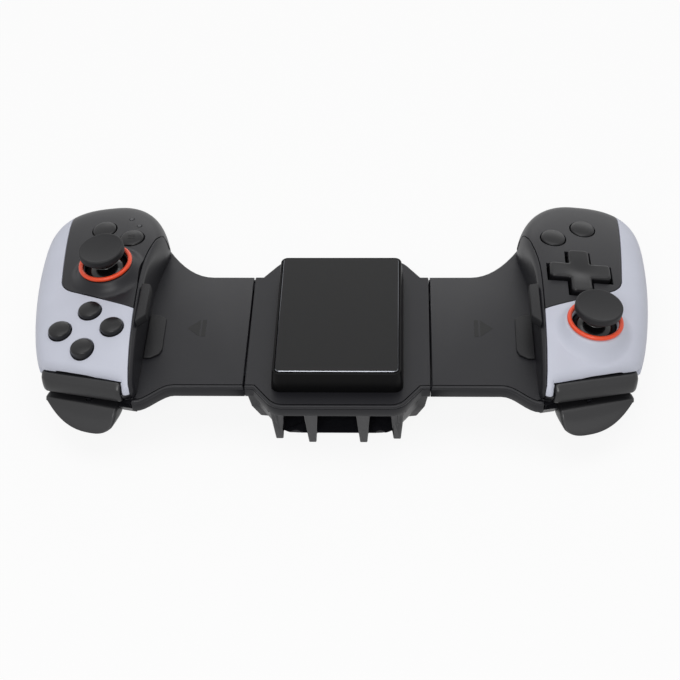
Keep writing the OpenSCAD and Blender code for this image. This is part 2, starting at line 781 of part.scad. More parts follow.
// Sticks: a mound on the shell, a ring, a gimbal in a module on the board, and the cap
mound_slope = 0.72;
mound_root = 1.2;
module mound(place) {
  at_place(place) translate([0, 0, -mound_root])
    cylinder(r1 = mound_r + mound_slope * (mound_h + mound_root), r2 = mound_r, h = mound_h + mound_root);
}
module mound_cut(place) {
  at_place(place) {
    translate([0, 0, -pivot_deep]) sphere(r = dome_r + cavity_gap);
    rod(ring_r - ring_bead - 0.3, -1, far / 4);
  }
}
module at_pivot(place) at_place(place) translate([0, 0, -pivot_deep]) children();
module stick_ring(place) {
  at_place(place) translate([0, 0, mound_h]) rotate_extrude() {
    translate([ring_r - ring_bead, 0]) square([2 * ring_bead, ring_bead]);
    translate([ring_r, ring_bead]) circle(ring_bead);
  }
}
module_half = 6.2;
module_wall = 1.2;
module_top = 1.6;
cradle_half = 4.5;
cradle_hole = 3.1;
cradle_t = 1.3;
gimbal_r = 1;
module across(axis) {
  if (axis == "u") rotate([0, 90, 0]) children();
  else rotate([90, 0, 0]) children();
}
module stick_module(place) {
  floor = board_w - face_w(place[0], place[1]) + pivot_deep;
  inner = module_half - module_wall;
  at_pivot(place) difference() {
    slab(-module_half, module_half, -module_half, module_half, floor, module_top);
    slab(-inner, inner, -inner, inner, floor - 1, module_top + 1);
    across("u") rod(gimbal_r + running, -far / 4, far / 4);
  }
}
module stick_cradle(place) {
  at_pivot(place) difference() {
    union() {
      difference() {
        slab(-cradle_half, cradle_half, -cradle_half, cradle_half, -cradle_t, cradle_t);
        slab(-cradle_hole, cradle_hole, -cradle_hole, cradle_hole, -far / 4, far / 4);
      }
      for (turn = [0, 180]) rotate([0, 0, turn])
        across("u") rod(gimbal_r, cradle_hole + 0.2, module_half - 0.1);
    }
    across("v") rod(gimbal_r - 0.1 + running, -far / 4, far / 4);
  }
}
stem_r = 2.2;
neck_r = 3.2;
dome_t = 1;
dome_skirt = 8.6;
cap_under = cap_top - cap_t + pivot_deep;
neck_top = cap_under + 0.8;
click = 0.5;
module stick_dome(place) {
  at_pivot(place) {
    across("v") rod(gimbal_r - 0.1, -cradle_half + 0.1, cradle_half - 0.1);
    rod(stem_r, -gimbal_r - 0.6, dome_r - dome_t / 2);
    rod(neck_r, dome_r - dome_t, neck_top);
    intersection() {
      difference() {
        sphere(r = dome_r);
        sphere(r = dome_r - dome_t);
      }
      rod(dome_skirt, 0, far / 4);
    }
  }
}
cap_round = 0.8;
cap_taper = 1.8;
cap_dish = 0.9;
cap_skirt = 0.6;
skirt_w = 0.7;
cap_lip = 1.4;
module stick_cap(place) {
  rim = cap_d / 2;
  top = cap_top + pivot_deep;
  bore_top = neck_top + click + 0.2;
  round_edge = [for (a = [0:22.5:90]) [rim - cap_round, top - cap_round] + cap_round * [cos(a), sin(a)]];
  dish = [for (i = [0:4]) let (x = (rim - cap_lip) * (1 - i / 4))
    [x, top - cap_dish * (1 - pow(x / (rim - cap_lip), 2))]];
  at_pivot(place) rotate_extrude() polygon(concat(
    [[0, bore_top], [neck_r + 0.1, bore_top], [neck_r + 0.1, cap_under],
     [rim - cap_taper - skirt_w, cap_under], [rim - cap_taper, cap_under - cap_skirt],
     [rim - cap_taper + skirt_w, cap_under - cap_skirt], [rim, cap_under + cap_taper / 2]], round_edge, dish));
}

// Buttons: a round cap with a flange under the shell and a stem down to the board
module round_button(place, d, proud, stem_end) {
  round_r = 0.7;
  crowned = [for (a = [0:30:90]) [d / 2 - round_r, proud - round_r] + round_r * [cos(a), sin(a)]];
  low = -shell_t - flange_deep;
  stem = stem_end - face_w(place[0], place[1]);
  at_place(place) rotate_extrude() polygon(concat(
    [[0, stem], [stem_d / 2, stem], [stem_d / 2, low], [d / 2 + flange, low],
     [d / 2 + flange, low + flange_t], [d / 2, low + flange_t]], crowned, [[0, proud + 0.15]]));
}
module button_hole(place, d) at_place(place) rod(d / 2 + button_gap, -far / 4, far / 4);
face_stem_end = board_w + mat_t + face_travel + 0.4;
function_stem_end = board_w + switch_h + 1;
module face_button(i) {
  color(BLACK) on_side(-1) face()
    round_button(face_places[i], face_button_d, face_button_proud, face_stem_end);
}
module function_button(side, place) {
  color(BLACK) on_side(side) face() round_button(place, function_d, function_proud, function_stem_end);
}
mat_rim = 3;
collar_r = 3;
collar_h = 1.9;
module button_mat() {
  reach = face_pitch + collar_r;
  color("#8d9096") on_side(-1) face() difference() {
    union() {
      translate([face_at[0], face_at[1], 0])
        plate(board_w, board_w + mat_t) round_rect(reach, reach, mat_rim);
      for (place = face_places) translate([place[0], place[1], 0])
        rod(collar_r, board_w, board_w + mat_t + collar_h);
    }
    for (place = face_places) translate([place[0], place[1], 0])
      rod(stem_d / 2 + button_gap + 0.1, board_w + mat_t, far / 4);
    translate([grip_screw_at[2][0], grip_screw_at[2][1], 0]) rod(boss_r + button_gap, -far / 4, far / 4);
    front() slab(-far, far, -far, bumper_d + board_back, -far / 4, far / 4);
  }
}

// Direction pad: a cross that rocks on a ball seated in a post on the board
module pad_cross(gap) {
  for (turn = [0, 90]) rotate([0, 0, turn])
    square([pad_len + 2 * gap, pad_arm + 2 * gap], center = true);
}
pad_under = 2.2;
pad_chamfer = 0.6;
module direction_pad() {
  color(BLACK) on_side(1) face() at_place(pad_at) difference() {
    union() {
      plate(-pad_under, pad_proud - pad_chamfer) pad_cross(0);
      plate(pad_proud - pad_chamfer - eps, pad_proud) pad_cross(-pad_chamfer);
    }
    translate([0, 0, -ball_deep]) sphere(r = pad_ball_r + running);
  }
}
module pad_pivot() {
  color(METAL) on_side(1) face() at_place(pad_at) translate([0, 0, -ball_deep]) sphere(r = pad_ball_r);
}
pad_post_r = 3;
module pad_post() {
  at_place(pad_at) difference() {
    rod(pad_post_r, board_w - face_w(pad_at[0], pad_at[1]) - eps, -ball_deep - 0.4);
    translate([0, 0, -ball_deep]) sphere(r = pad_ball_r + running);
  }
}

// Shells of each side
module panel_holes() {
  for (place = [function_outer_at, function_inner_at]) button_hole(place, function_d);
}
module left_light_shell() {
  color(LIGHT) on_side(-1) face() {
    difference() {
      light_shell_blank();
      for (place = face_places) button_hole(place, face_button_d);
    }
    top_boss(grip_screw_at[2]);
  }
}
module right_light_shell() {
  color(LIGHT) on_side(1) face() {
    difference() {
      union() {
        light_shell_blank();
        difference() {
          mound(right_stick_at);
          plate(-far / 4, far / 4) panel_area(-shell_gap);
        }
      }
      mound_cut(right_stick_at);
    }
    top_boss(grip_screw_at[2]);
  }
}
light_r = 0.7;
light_gap = 0.15;
module left_dark_panel() {
  color(DARK) on_side(-1) face() {
    difference() {
      union() {
        dark_panel_blank();
        difference() {
          intersection() {
            mound(left_stick_at);
            plate(-far / 4, far / 4) panel_area(0);
          }
          plate(-far / 4, far / 4) phone_side(shell_gap);
        }
      }
      mound_cut(left_stick_at);
      panel_holes();
      for (place = lights_at) at_place(place) rod(light_r + light_gap, -far / 4, far / 4);
    }
    for (i = [0, 1]) top_boss(grip_screw_at[i]);
  }
}
module right_dark_panel() {
  color(DARK) on_side(1) face() {
    difference() {
      dark_panel_blank();
      panel_holes();
      at_place(pad_at) plate(-far / 4, far / 4) pad_cross(pad_gap);
    }
    for (i = [0, 1]) top_boss(grip_screw_at[i]);
  }
}
module indicator_lights() {
  color("#e6e9ee") on_side(-1) face()
    for (place = lights_at) translate([place[0], place[1], 0])
      rod(light_r, board_w, face_w(place[0], place[1]) + 0.1);
}

// Back shell: the palm, with the bumper's pin, the trigger's axle and the screw posts
module bay_cuts() {
  front() slab(strip_p, far, -far / 4, bay_q, -far / 4, far / 4);
}
module bay_walls() {
  intersection() {
    grip_solid(shell_t / 2);
    front() slab(block_p, far / 4, bay_q - eps, bay_q + bay_wall, -far / 4, board_w - board_t - bay_gap);
  }
  front() {
    slab(block_p, bumper_len - 2, bay_gap, bay_q + bay_wall / 2, shelf_low, shelf_top);
    along_front(block_p) linear_extrude(trigger_p - bay_gap - block_p)
      polygon([[bay_gap, shelf_top], [bay_gap, shelf_low - 0.5], [2.6, axle_at[1] - axle_r - 0.6],
        [bay_q + bay_wall / 2, axle_at[1] - axle_r - 0.6], [bay_q + bay_wall / 2, shelf_top]]);
    slab(lug_p, lug_p + lug_t, axle_at[0] - axle_r - 0.8, bay_q + bay_wall / 2, axle_at[1] - axle_r - 0.8,
      shelf_low + eps);
  }
}
module back_shell(side) {
  difference() {
    face() difference() {
      union() {
        difference() {
          palm_shell();
          bay_cuts();
        }
        bay_walls();
        front() {
          translate([pin_at[0], pin_at[1], 0]) rod(pin_r, shelf_top - eps, bumper_low + pin_len);
          along_front(trigger_p - 1) translate([axle_at[0], axle_at[1], 0])
            rod(axle_r, 0, lug_p + lug_t / 2 - trigger_p + 1);
        }
        for (place = grip_screw_at) intersection() {
          translate([place[0], place[1], 0]) rod(boss_r, -far / 4, board_w - board_t);
          grip_solid(shell_t / 2);
        }
      }
      for (place = grip_screw_at) translate([place[0], place[1], 0])
        screw_cut(pocket_w(place) - head_t, board_w);
      plate(rim_w - 5, far / 4) phone_side(shell_gap);
      if (side > 0) port_opening();
    }
    slab(0, wing_end + shell_gap, -far, far, deck_under - shell_gap, far);
  }
}

module bumper_plan() {
  end = bay_p + bumper_len;
  corner_r = 3;
  arc = [for (i = [0:arc_steps]) let (a = -90 + 90 * i / arc_steps)
    [end - corner_r, corner_r] + corner_r * [cos(a), sin(a)]];
  polygon(concat([[bay_p, 0]], arc, [[end, bumper_d], [bay_p, bumper_d]]));
}
module bumper() {
  face() front() difference() {
    intersection() {
      along_front(bay_p) linear_extrude(bumper_len)
        polygon([[bumper_d, bumper_low], [bumper_d, bumper_top - 0.3], [bumper_edge, bumper_top],
          [0.5, bumper_low + 1.8], [0, bumper_low + 0.8], [0.4, bumper_low]]);
      plate(bumper_low - 1, bumper_top + 1) bumper_plan();
    }
    translate([pin_at[0], pin_at[1], 0])
      rod(pin_r + running, bumper_low - 1, bumper_low + pin_len + bay_gap);
  }
}

// Trigger: a leaf that grows from its outer tip to a broad lip and rounds off at the inner end
trigger_steps = 18;
trigger_back = [3.2, 4.4];
trigger_front = [-0.2, -0.4];
trigger_tip = 0.8;
trigger_top = shelf_low - 0.5;
leaf_peak = 0.65;
leaf_end = 0.38;
function leaf(t) = t < leaf_peak ? 1 - pow(1 - t / leaf_peak, 2.5)
                                 : sqrt(1 - pow((t - leaf_peak) / leaf_end, 2.5));
function trigger_section(x) =
  let (
    t = 1 - x,
    lip = trigger_reach * leaf(t),
    h = trigger_tip + (trigger_h - trigger_tip) * sqrt(t),
    lip_h = trigger_tip + (trigger_h - trigger_tip) * leaf(t),
    back = trigger_back[0] + trigger_back[1] * t,
    edge = trigger_front[0] + trigger_front[1] * t,
    top = trigger_top - 0.4 * t,
    p = trigger_p + x * trigger_len)
  [for (place = [[edge, 0], [0.55 * back, 0], [back, -0.28 * h], [back, -0.62 * h],
    [0.35 * back - 0.25 * lip, -0.95 * h], [edge + 0.6 - lip, -lip_h], [edge - lip, -0.86 * lip_h],
    [edge - 0.46 * lip, -0.44 * lip_h]]) [p, place[0], top + place[1]]];
module trigger() {
  face() front() difference() {
    skin([for (i = [0:trigger_steps]) trigger_section(i / trigger_steps)]);
    along_front(0) translate([axle_at[0], axle_at[1], 0]) rod(axle_r + running, 0, lug_p + lug_t);
    slab(lug_p - lug_gap, lug_p + lug_t + lug_gap, axle_at[0] - axle_r - 1.4, far / 4, -far / 4, 0);
  }
}

// Boards and what sits on them
board_share = 0.86;
board_back = 1.5;
module board(side) {
  color(BOARD) on_side(side) face() difference() {
    plate(board_w - board_t, board_w)
      polygon([for (i = [0:ring_points - 1]) grip_place(i, board_share, 0)]);
    slab(-far, 1.5 - wall_u, -far, far, -far / 4, far / 4);
    front() slab(-far, far, -far, bumper_d + board_back, -far / 4, far / 4);
    for (place = grip_screw_at) translate([place[0], place[1], 0])
      rod(screw_r + screw_hole + 0.1, board_w - board_t - 1, board_w + 1);
  }
}
module switches(side) {
  color(METAL) on_side(side) face()
    for (place = [function_outer_at, function_inner_at]) translate([place[0], place[1], 0])
      plate(board_w - eps, board_w + switch_h) round_rect(2, 2, 0.4);
}
module left_board() {
  board(-1);
  switches(-1);
}
module right_board() {
  board(1);
  switches(1);
  color("#8d9096") on_side(1) face() pad_post();
}
battery_size = [18, 36, 6];
battery_at = [-4, 11];
module battery() {
  color("#9aa3ad") on_side(1) face() translate([battery_at[0], battery_at[1], 0])
    plate(board_w - board_t - battery_size[2], board_w - board_t)
      round_rect(battery_size[0] / 2, battery_size[1] / 2, 2);
}
port_half = [4.45, 1.6];
port_v = [41, 47.8];
port_fit = 0.2;
module port_profile(grow) round_rect(port_half[0] + grow, port_half[1] + grow, port_half[1] + grow - eps);
module port_place(v) translate([0, v, board_w - board_t - port_half[1]]) rotate([90, 0, 0]) children();
module port_opening() port_place(port_v[1] + 8) linear_extrude(16) port_profile(port_fit);
module charge_port() {
  shell = 0.35;
  color(METAL) on_side(1) face() difference() {
    port_place(port_v[1]) linear_extrude(port_v[1] - port_v[0]) port_profile(0);
    difference() {
      port_place(port_v[1] + 1) linear_extrude(6) port_profile(-shell);
      port_place(port_v[1] - 0.8) linear_extrude(6) round_rect(3, 0.35, 0.3);
    }
  }
}

// Phone hook on the wall and rubber pad on the deck
hook_reach = 3.1;
hook_v = [-2.2, -20.8];
hook_cut = [1, 2.8];
hook_w = [-3.2, 0.2];
module phone_hook() {
  u = -wall_u - wall_t;
  face() plate(hook_w[0], hook_w[1]) polygon([[u, hook_v[0]], [u - hook_reach, hook_v[0] - hook_cut[0]],
    [u - hook_reach, hook_v[1] + hook_cut[1]], [u, hook_v[1]]]);
}
pad_t = 0.8;
pad_reach = 5.9;
pad_v = [-3.4, -24.1];
module floor_pad() {
  x = wing_end - wall_t - 0.1;
  inner = x - pad_reach;
  plate(deck_z, deck_z + pad_t) polygon([[x, pad_v[0]], [x - 3.2, pad_v[0] - 0.2], [inner + 0.2, pad_v[0] - 2],
    [inner, pad_v[1] + 4.1], [inner + 0.8, pad_v[1] + 1.8], [x - 2.3, pad_v[1]], [x, pad_v[1]]]);
}
module half_screws(side) {
  color(METAL) on_side(side) {
    at_wing_screws() screw(deck_under, deck_screw_top);
    face() for (place = grip_screw_at) translate([place[0], place[1], 0])
      screw(pocket_w(place) - head_t, grip_screw_top);
  }
}
module turned(side) {
  if (side > 0) children();
  else translate([0, 2 * deck_y, 0]) rotate([0, 0, 180]) children();
}

// Mirrored pieces of the two halves
module left_wing_frame() color(DARK) on_side(-1) wing_frame();
module right_wing_frame() color(DARK) on_side(1) wing_frame();
module left_wing_cover() color(DARK) on_side(-1) wing_cover();
module right_wing_cover() color(DARK) on_side(1) wing_cover();
module left_slide_fork() color(METAL) turned(-1) slide_fork();
module right_slide_fork() color(METAL) turned(1) slide_fork();
module left_return_spring() color(METAL) return_spring();
module right_return_spring() color(METAL) turned(-1) return_spring();
module left_back_shell() color(DARK) on_side(-1) back_shell(-1);
module right_back_shell() color(DARK) on_side(1) back_shell(1);
module left_phone_hook() color(RUBBER) on_side(-1) phone_hook();
module right_phone_hook() color(RUBBER) on_side(1) phone_hook();
module left_floor_pad() color(RUBBER) on_side(-1) floor_pad();
module right_floor_pad() color(RUBBER) on_side(1) floor_pad();
module left_stick_module() color(METAL) on_side(-1) face() stick_module(left_stick_at);
module right_stick_module() color(METAL) on_side(1) face() stick_module(right_stick_at);
module left_stick_ring() color(ORANGE) on_side(-1) face() stick_ring(left_stick_at);
module right_stick_ring() color(ORANGE) on_side(1) face() stick_ring(right_stick_at);
module left_stick_cradle() color(METAL) on_side(-1) face() stick_cradle(left_stick_at);
module right_stick_cradle() color(METAL) on_side(1) face() stick_cradle(right_stick_at);
module left_stick_dome() color(BLACK) on_side(-1) face() stick_dome(left_stick_at);
module right_stick_dome() color(BLACK) on_side(1) face() stick_dome(right_stick_at);
module left_stick_cap() color(RUBBER) on_side(-1) face() stick_cap(left_stick_at);
module right_stick_cap() color(RUBBER) on_side(1) face() stick_cap(right_stick_at);
module face_button_front() face_button(0);
module face_button_rear() face_button(1);
module face_button_inner() face_button(2);
module face_button_outer() face_button(3);
module left_function_outer() function_button(-1, function_outer_at);
module left_function_inner() function_button(-1, function_inner_at);
module right_function_outer() function_button(1, function_outer_at);
module right_function_inner() function_button(1, function_inner_at);
module left_bumper() color(BLACK) on_side(-1) bumper();
module right_bumper() color(BLACK) on_side(1) bumper();
module left_trigger() color(BLACK) on_side(-1) trigger();
module right_trigger() color(BLACK) on_side(1) trigger();
module left_screws() half_screws(-1);
module right_screws() half_screws(1);

centre_cover();
centre_housing();
cooler_frame();
cold_plate();
cooling_tile();
heat_sink();
fan_frame();
fan_rotor();
centre_screws();
left_wing_frame();
left_wing_cover();
left_slide_fork();
left_return_spring();
left_light_shell();
left_dark_panel();
left_back_shell();
left_phone_hook();
left_floor_pad();
left_board();
left_stick_module();
left_stick_ring();
left_stick_cradle();
left_stick_dome();
left_stick_cap();
face_button_front();
face_button_rear();
face_button_inner();
face_button_outer();
button_mat();
left_function_outer();
left_function_inner();
indicator_lights();
left_bumper();
left_trigger();
left_screws();
right_wing_frame();
right_wing_cover();
right_slide_fork();
right_return_spring();
right_light_shell();
right_dark_panel();
right_back_shell();
right_phone_hook();
right_floor_pad();
right_board();
right_stick_module();
right_stick_ring();
right_stick_cradle();
right_stick_dome();
right_stick_cap();
direction_pad();
pad_pivot();
right_function_outer();
right_function_inner();
right_bumper();
right_trigger();
battery();
charge_port();
right_screws();
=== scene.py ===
# %% [markdown]
# A pocket controller that grips a phone: two moulded handles on a sprung slide, with a cooled
# plate between them. The solids come from the CAD model, so this lesson only dresses them. Every
# piece stays where the solid is, and rides on the body that carries it.

# %% Load the frame
import json
import math

import bmesh
import bpy
import numpy as np
from mathutils import Matrix, Vector, kdtree


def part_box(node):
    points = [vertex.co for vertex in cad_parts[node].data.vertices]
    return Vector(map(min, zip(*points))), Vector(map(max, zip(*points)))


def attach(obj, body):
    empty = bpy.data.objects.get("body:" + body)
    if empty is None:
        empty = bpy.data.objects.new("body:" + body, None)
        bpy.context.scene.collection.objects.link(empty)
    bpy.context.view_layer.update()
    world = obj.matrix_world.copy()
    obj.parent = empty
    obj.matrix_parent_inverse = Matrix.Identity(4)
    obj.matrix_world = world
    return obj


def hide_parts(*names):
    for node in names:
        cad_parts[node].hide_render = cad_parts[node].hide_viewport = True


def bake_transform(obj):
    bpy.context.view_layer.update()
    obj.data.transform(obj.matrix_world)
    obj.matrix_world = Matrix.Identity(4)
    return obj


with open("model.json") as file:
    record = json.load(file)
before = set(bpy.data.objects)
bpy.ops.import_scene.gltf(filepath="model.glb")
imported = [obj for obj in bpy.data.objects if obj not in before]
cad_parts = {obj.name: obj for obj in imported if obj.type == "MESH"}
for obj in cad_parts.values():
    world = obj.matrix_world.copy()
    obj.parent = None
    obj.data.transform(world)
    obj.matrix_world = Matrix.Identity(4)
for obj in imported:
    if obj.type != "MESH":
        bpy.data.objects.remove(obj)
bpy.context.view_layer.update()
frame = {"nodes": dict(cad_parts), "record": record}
nodes = frame["nodes"]
body_of = {node: body for body, names in frame["record"]["behaviour"]["bodies"].items() for node in names}
slot_of = {part["node"]: part["material_slot"] for part in frame["record"]["subparts"]}

# %% [markdown]
# The camera stands where the photograph was taken: above the triggers, looking down at about 44
# degrees with a slight turn and lean. It could be placed by eye, but a lens, a place and three
# angles were solved from the outline.

# %% Place the camera
CAMERA_AT = Vector((0.019955, -0.37317, 0.368329))
pitch, yaw, roll = (math.radians(angle) for angle in (44.073, 3.1406, -2.0752))
forward = Vector((-math.sin(yaw) * math.cos(pitch), math.cos(yaw) * math.cos(pitch), -math.sin(pitch)))
level = Vector((math.cos(yaw), math.sin(yaw), 0))
upright = level.cross(forward)
right = math.cos(roll) * level + math.sin(roll) * upright
up = math.cos(roll) * upright - math.sin(roll) * level
camera = bpy.data.objects.new("photo_camera", bpy.data.cameras.new("photo_camera"))
camera.data.lens = 79.41
camera.data.sensor_width = 36
camera.matrix_world = Matrix.Translation(CAMERA_AT) @ Matrix((right, up, -forward)).transposed().to_4x4()
scene = bpy.context.scene
scene.collection.objects.link(camera)
scene.camera = camera
print("camera looks along", [round(part, 3) for part in forward])

# %% [markdown]
# Shader and geometry maths reads best as plain sums. This small class holds a socket, and each
# operator adds a Math node behind the scenes. One method adds any other node: its settings come
# first, because some of them change which sockets exist, and then its values and links. A list of
# wires goes into a socket that takes many.

# %% Sockets that add up


class Wire:
    def __init__(self, tree, socket):
        self.tree = tree
        self.socket = socket

    def sum_node(self, operation, other):
        return self.tree.node("ShaderNodeMath", {"operation": operation}, {0: self, 1: other})

    def __add__(self, other):
        return self.sum_node("ADD", other)

    def __sub__(self, other):
        return self.sum_node("SUBTRACT", other)

    def __mul__(self, other):
        return self.sum_node("MULTIPLY", other)

    def out(self, name):
        return Wire(self.tree, self.socket.node.outputs[name])


class Tree:
    def __init__(self, tree):
        self.tree = tree
        self.tree.nodes.clear()

    def node(self, kind, settings=None, sockets=None):
        made = self.tree.nodes.new(kind)
        for name, value in (settings or {}).items():
            if name == "stops":
                for stop, (place, colour) in zip(made.color_ramp.elements, value):
                    stop.position = place
                    stop.color = (*colour, 1)
            else:
                setattr(made, name, value)
        for name, value in (sockets or {}).items():
            for each in value if isinstance(value, list) else [value]:
                if isinstance(each, Wire):
                    self.tree.links.new(each.socket, made.inputs[name])
                else:
                    made.inputs[name].default_value = each
        return Wire(self, made.outputs[0]) if made.outputs else made


print("node trees are ready to be written")

# %% [markdown]
# Most of the controller is moulded plastic. A mould is spark-eroded or blasted, so the surface has
# a grain a few tenths of a millimetre wide that breaks up the shine, over a slower drift in shade.
# Two noises on object coordinates give both, and they hold their size on every piece.

# %% Moulded finishes


def linear(hex_colour):
    shades = [int(hex_colour[i:i + 2], 16) / 255 for i in (1, 3, 5)]
    return [s / 12.92 if s < 0.04045 else ((s + 0.055) / 1.055) ** 2.4 for s in shades]


def finish(name, colour, rough, grain_mm=0.25, grain=0.1, drift=0.06, metal=0.0, coat=0.0, **fixed):
    material = bpy.data.materials.new(name)
    material.use_nodes = True
    tree = Tree(material.node_tree)
    place = tree.node("ShaderNodeTexCoord").out("Object")
    fine = tree.node("ShaderNodeTexNoise", None, {"Vector": place, "Scale": 1000 / grain_mm, "Detail": 2.0})
    slow = tree.node("ShaderNodeTexNoise", None, {"Vector": place, "Scale": 90.0, "Detail": 3.0})
    shade = slow * 0.7 + fine * 0.3
    dark = [part * (1 - drift) for part in linear(colour)]
    pale = [min(1, part * (1 + drift)) for part in linear(colour)]
    tint = tree.node("ShaderNodeValToRGB", {"stops": ((0.3, dark), (0.7, pale))}, {"Fac": shade})
    bump = tree.node("ShaderNodeBump", None, {"Height": fine, "Strength": grain, "Distance": grain_mm / 1e4})
    surface = {"Base Color": tint, "Roughness": fine * 0.12 + (rough - 0.06), "Metallic": metal,
               "Coat Weight": coat, "Normal": bump, **fixed}
    shader = tree.node("ShaderNodeBsdfPrincipled", None, surface)
    tree.node("ShaderNodeOutputMaterial", None, {"Surface": shader})
    return material


MATTE = {"Specular IOR Level": 0.3}
lavender_shell = finish("lavender_shell", "#cacdda", 0.5, grain=0.16, drift=0.03)
charcoal_shell = finish("charcoal_shell", "#19191d", 0.4, grain=0.22, drift=0.08, **MATTE)
gloss_frame = finish("gloss_frame", "#0d0d0e", 0.2, grain=0.04, coat=0.3, **MATTE)
black_frame = finish("black_frame", "#080809", 0.34, grain=0.05, **{"Specular IOR Level": 0.1})
satin_key = finish("satin_key", "#161618", 0.3, grain=0.1, **MATTE)
satin_lever = finish("satin_lever", "#1e1e20", 0.34, grain=0.12)
soft_rubber = finish("soft_rubber", "#18181a", 0.58, grain=0.3, grain_mm=0.35, **MATTE)
orange_bead = finish("orange_bead", "#f04a1c", 0.36, grain=0.05, drift=0.04, coat=0.1)
print("moulded finishes written")

# %% [markdown]
# The rest is metal, ceramic, foil and board. They share the same recipe with other numbers: a
# brushed steel is metallic with a fine grain, a blasted plate is dark and satin, and the chamfer
# that is cut after the plate is coloured stays bright.

# %% Metal and hidden finishes
blasted_plate = finish("blasted_plate", "#101011", 0.34, grain=0.14, grain_mm=0.18,
                       **{"Specular IOR Level": 0.22})
bright_cut = finish("bright_cut", "#6f7176", 0.3, grain=0.04, metal=1.0)
oxide_steel = finish("oxide_steel", "#2c2c2f", 0.4, grain=0.1, metal=1.0)
brushed_steel = finish("brushed_steel", "#b4b7bd", 0.32, grain=0.1, metal=1.0)
fin_aluminium = finish("fin_aluminium", "#bcbfc5", 0.4, grain=0.1, metal=1.0)
white_ceramic = finish("white_ceramic", "#e8e8e4", 0.6, grain=0.08)
dark_board = finish("dark_board", "#101613", 0.45, grain=0.12)
grey_silicone = finish("grey_silicone", "#8d9096", 0.6, grain=0.1)
cell_foil = finish("cell_foil", "#9aa3ad", 0.34, grain=0.3, grain_mm=0.8, metal=0.8)
clear_pipe = finish("clear_pipe", "#3a3b3f", 0.24, grain=0.02, coat=0.2)
dark_print = finish("dark_print", "#0b0b0c", 0.4, grain=0.06, **MATTE)
finish_of = {"light_shell": lavender_shell, "dark_shell": charcoal_shell, "gloss_black": gloss_frame,
             "black_keys": satin_key, "black_rubber": soft_rubber, "orange_ring": orange_bead,
             "steel": brushed_steel, "fins": fin_aluminium, "cold_plate": blasted_plate,
             "ceramic": white_ceramic, "board": dark_board, "mat": grey_silicone, "cell": cell_foil,
             "light_pipe": clear_pipe}
for name, piece in nodes.items():
    piece.data.materials.clear()
    piece.data.materials.append(finish_of[slot_of[name]])
print(len(bpy.data.materials), "materials on the solids")

# %% [markdown]
# Every new piece goes through one door. It takes points in millimetres, makes a mesh at the
# origin, gives the faces smooth shading that breaks at sharp corners, and then rides on the same
# body as the solid that it stands for. Most pieces are rows of points with faces bridged between
# them, so that is a function, and another one makes all faces point outwards.

# %% Make and seat a piece
MM = 0.001


def mesh_piece(name, points, faces, material, sharp=35):
    mesh = bpy.data.meshes.new(name)
    mesh.from_pydata([Vector(p) * MM for p in points], [], [list(f) for f in faces])
    return settle(name, mesh, material, sharp)


def settle(name, mesh, material, sharp=35):
    mesh.materials.clear()
    mesh.materials.append(material)
    mesh.polygons.foreach_set("use_smooth", [True] * len(mesh.polygons))
    mesh.set_sharp_from_angle(angle=math.radians(sharp))
    piece = bpy.data.objects.new(name, mesh)
    scene.collection.objects.link(piece)
    return piece


def seat(piece, *stands_for):
    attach(piece, body_of[stands_for[0]])
    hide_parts(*stands_for)
    return piece


def bridge(rows, count, ring=False, caps=False):
    faces = []
    for i in range(rows if ring else rows - 1):
        j = (i + 1) % rows
        for k in range(count):
            n = (k + 1) % count
            faces.append((i * count + k, i * count + n, j * count + n, j * count + k))
    if caps:
        faces += [range(count)[::-1], range((rows - 1) * count, rows * count)]
    return faces


def outward(piece, sharp, merge=False):
    tidy = bmesh.new()
    tidy.from_mesh(piece.data)
    if merge:
        bmesh.ops.remove_doubles(tidy, verts=tidy.verts, dist=1e-7)
        bmesh.ops.dissolve_degenerate(tidy, edges=tidy.edges, dist=1e-7)
    bmesh.ops.recalc_face_normals(tidy, faces=tidy.faces)
    tidy.to_mesh(piece.data)
    tidy.free()
    piece.data.set_sharp_from_angle(angle=math.radians(sharp))
    return piece


print("pieces are made in millimetres")

# %% [markdown]
# Each grip has its own frame: u points outwards over the face, v away from the triggers and w up
# out of the face, which leans out by six degrees. The left grip is the right one in a mirror. The
# front has a frame as well: p runs along the bumper and q away from the fingers.

# %% Grip frame
FACE_X, FACE_Z, LEAN = 82.0, 33.3, math.radians(6)
FRONT_U, FRONT_V, SLANT = -14.6, -43.7, math.radians(16.2)


def to_world(points, side):
    u, v, w = np.asarray(points, float).T
    x = FACE_X + u * math.cos(LEAN) + w * math.sin(LEAN)
    z = FACE_Z - u * math.sin(LEAN) + w * math.cos(LEAN)
    return np.stack([side * x, v, z], 1)


def to_grip(points, side):
    x, y, z = np.asarray(points, float).T
    dx = side * x - FACE_X
    dz = z - FACE_Z
    return np.stack([dx * math.cos(LEAN) - dz * math.sin(LEAN), y,
                     dx * math.sin(LEAN) + dz * math.cos(LEAN)], 1)


def from_front(p, q, w):
    return np.stack([FRONT_U + p * math.cos(SLANT) - q * math.sin(SLANT),
                     FRONT_V + p * math.sin(SLANT) + q * math.cos(SLANT), w], -1)


def to_front(points):
    du, dv = points[:, 0] - FRONT_U, points[:, 1] - FRONT_V
    return du * math.cos(SLANT) + dv * math.sin(SLANT), dv * math.cos(SLANT) - du * math.sin(SLANT)


SIDES = {"left": -1, "right": 1}
print("grip frames lean", round(math.degrees(LEAN)), "degrees")

# %% [markdown]
# The face and the palm are two pillows over one outline, a superellipse drawn in towards the
# front. Written as a formula, a point is on the skin where the sum of two powers is one. The
# slope of that formula is the exact direction the skin faces, which is what gives clean
# reflections.

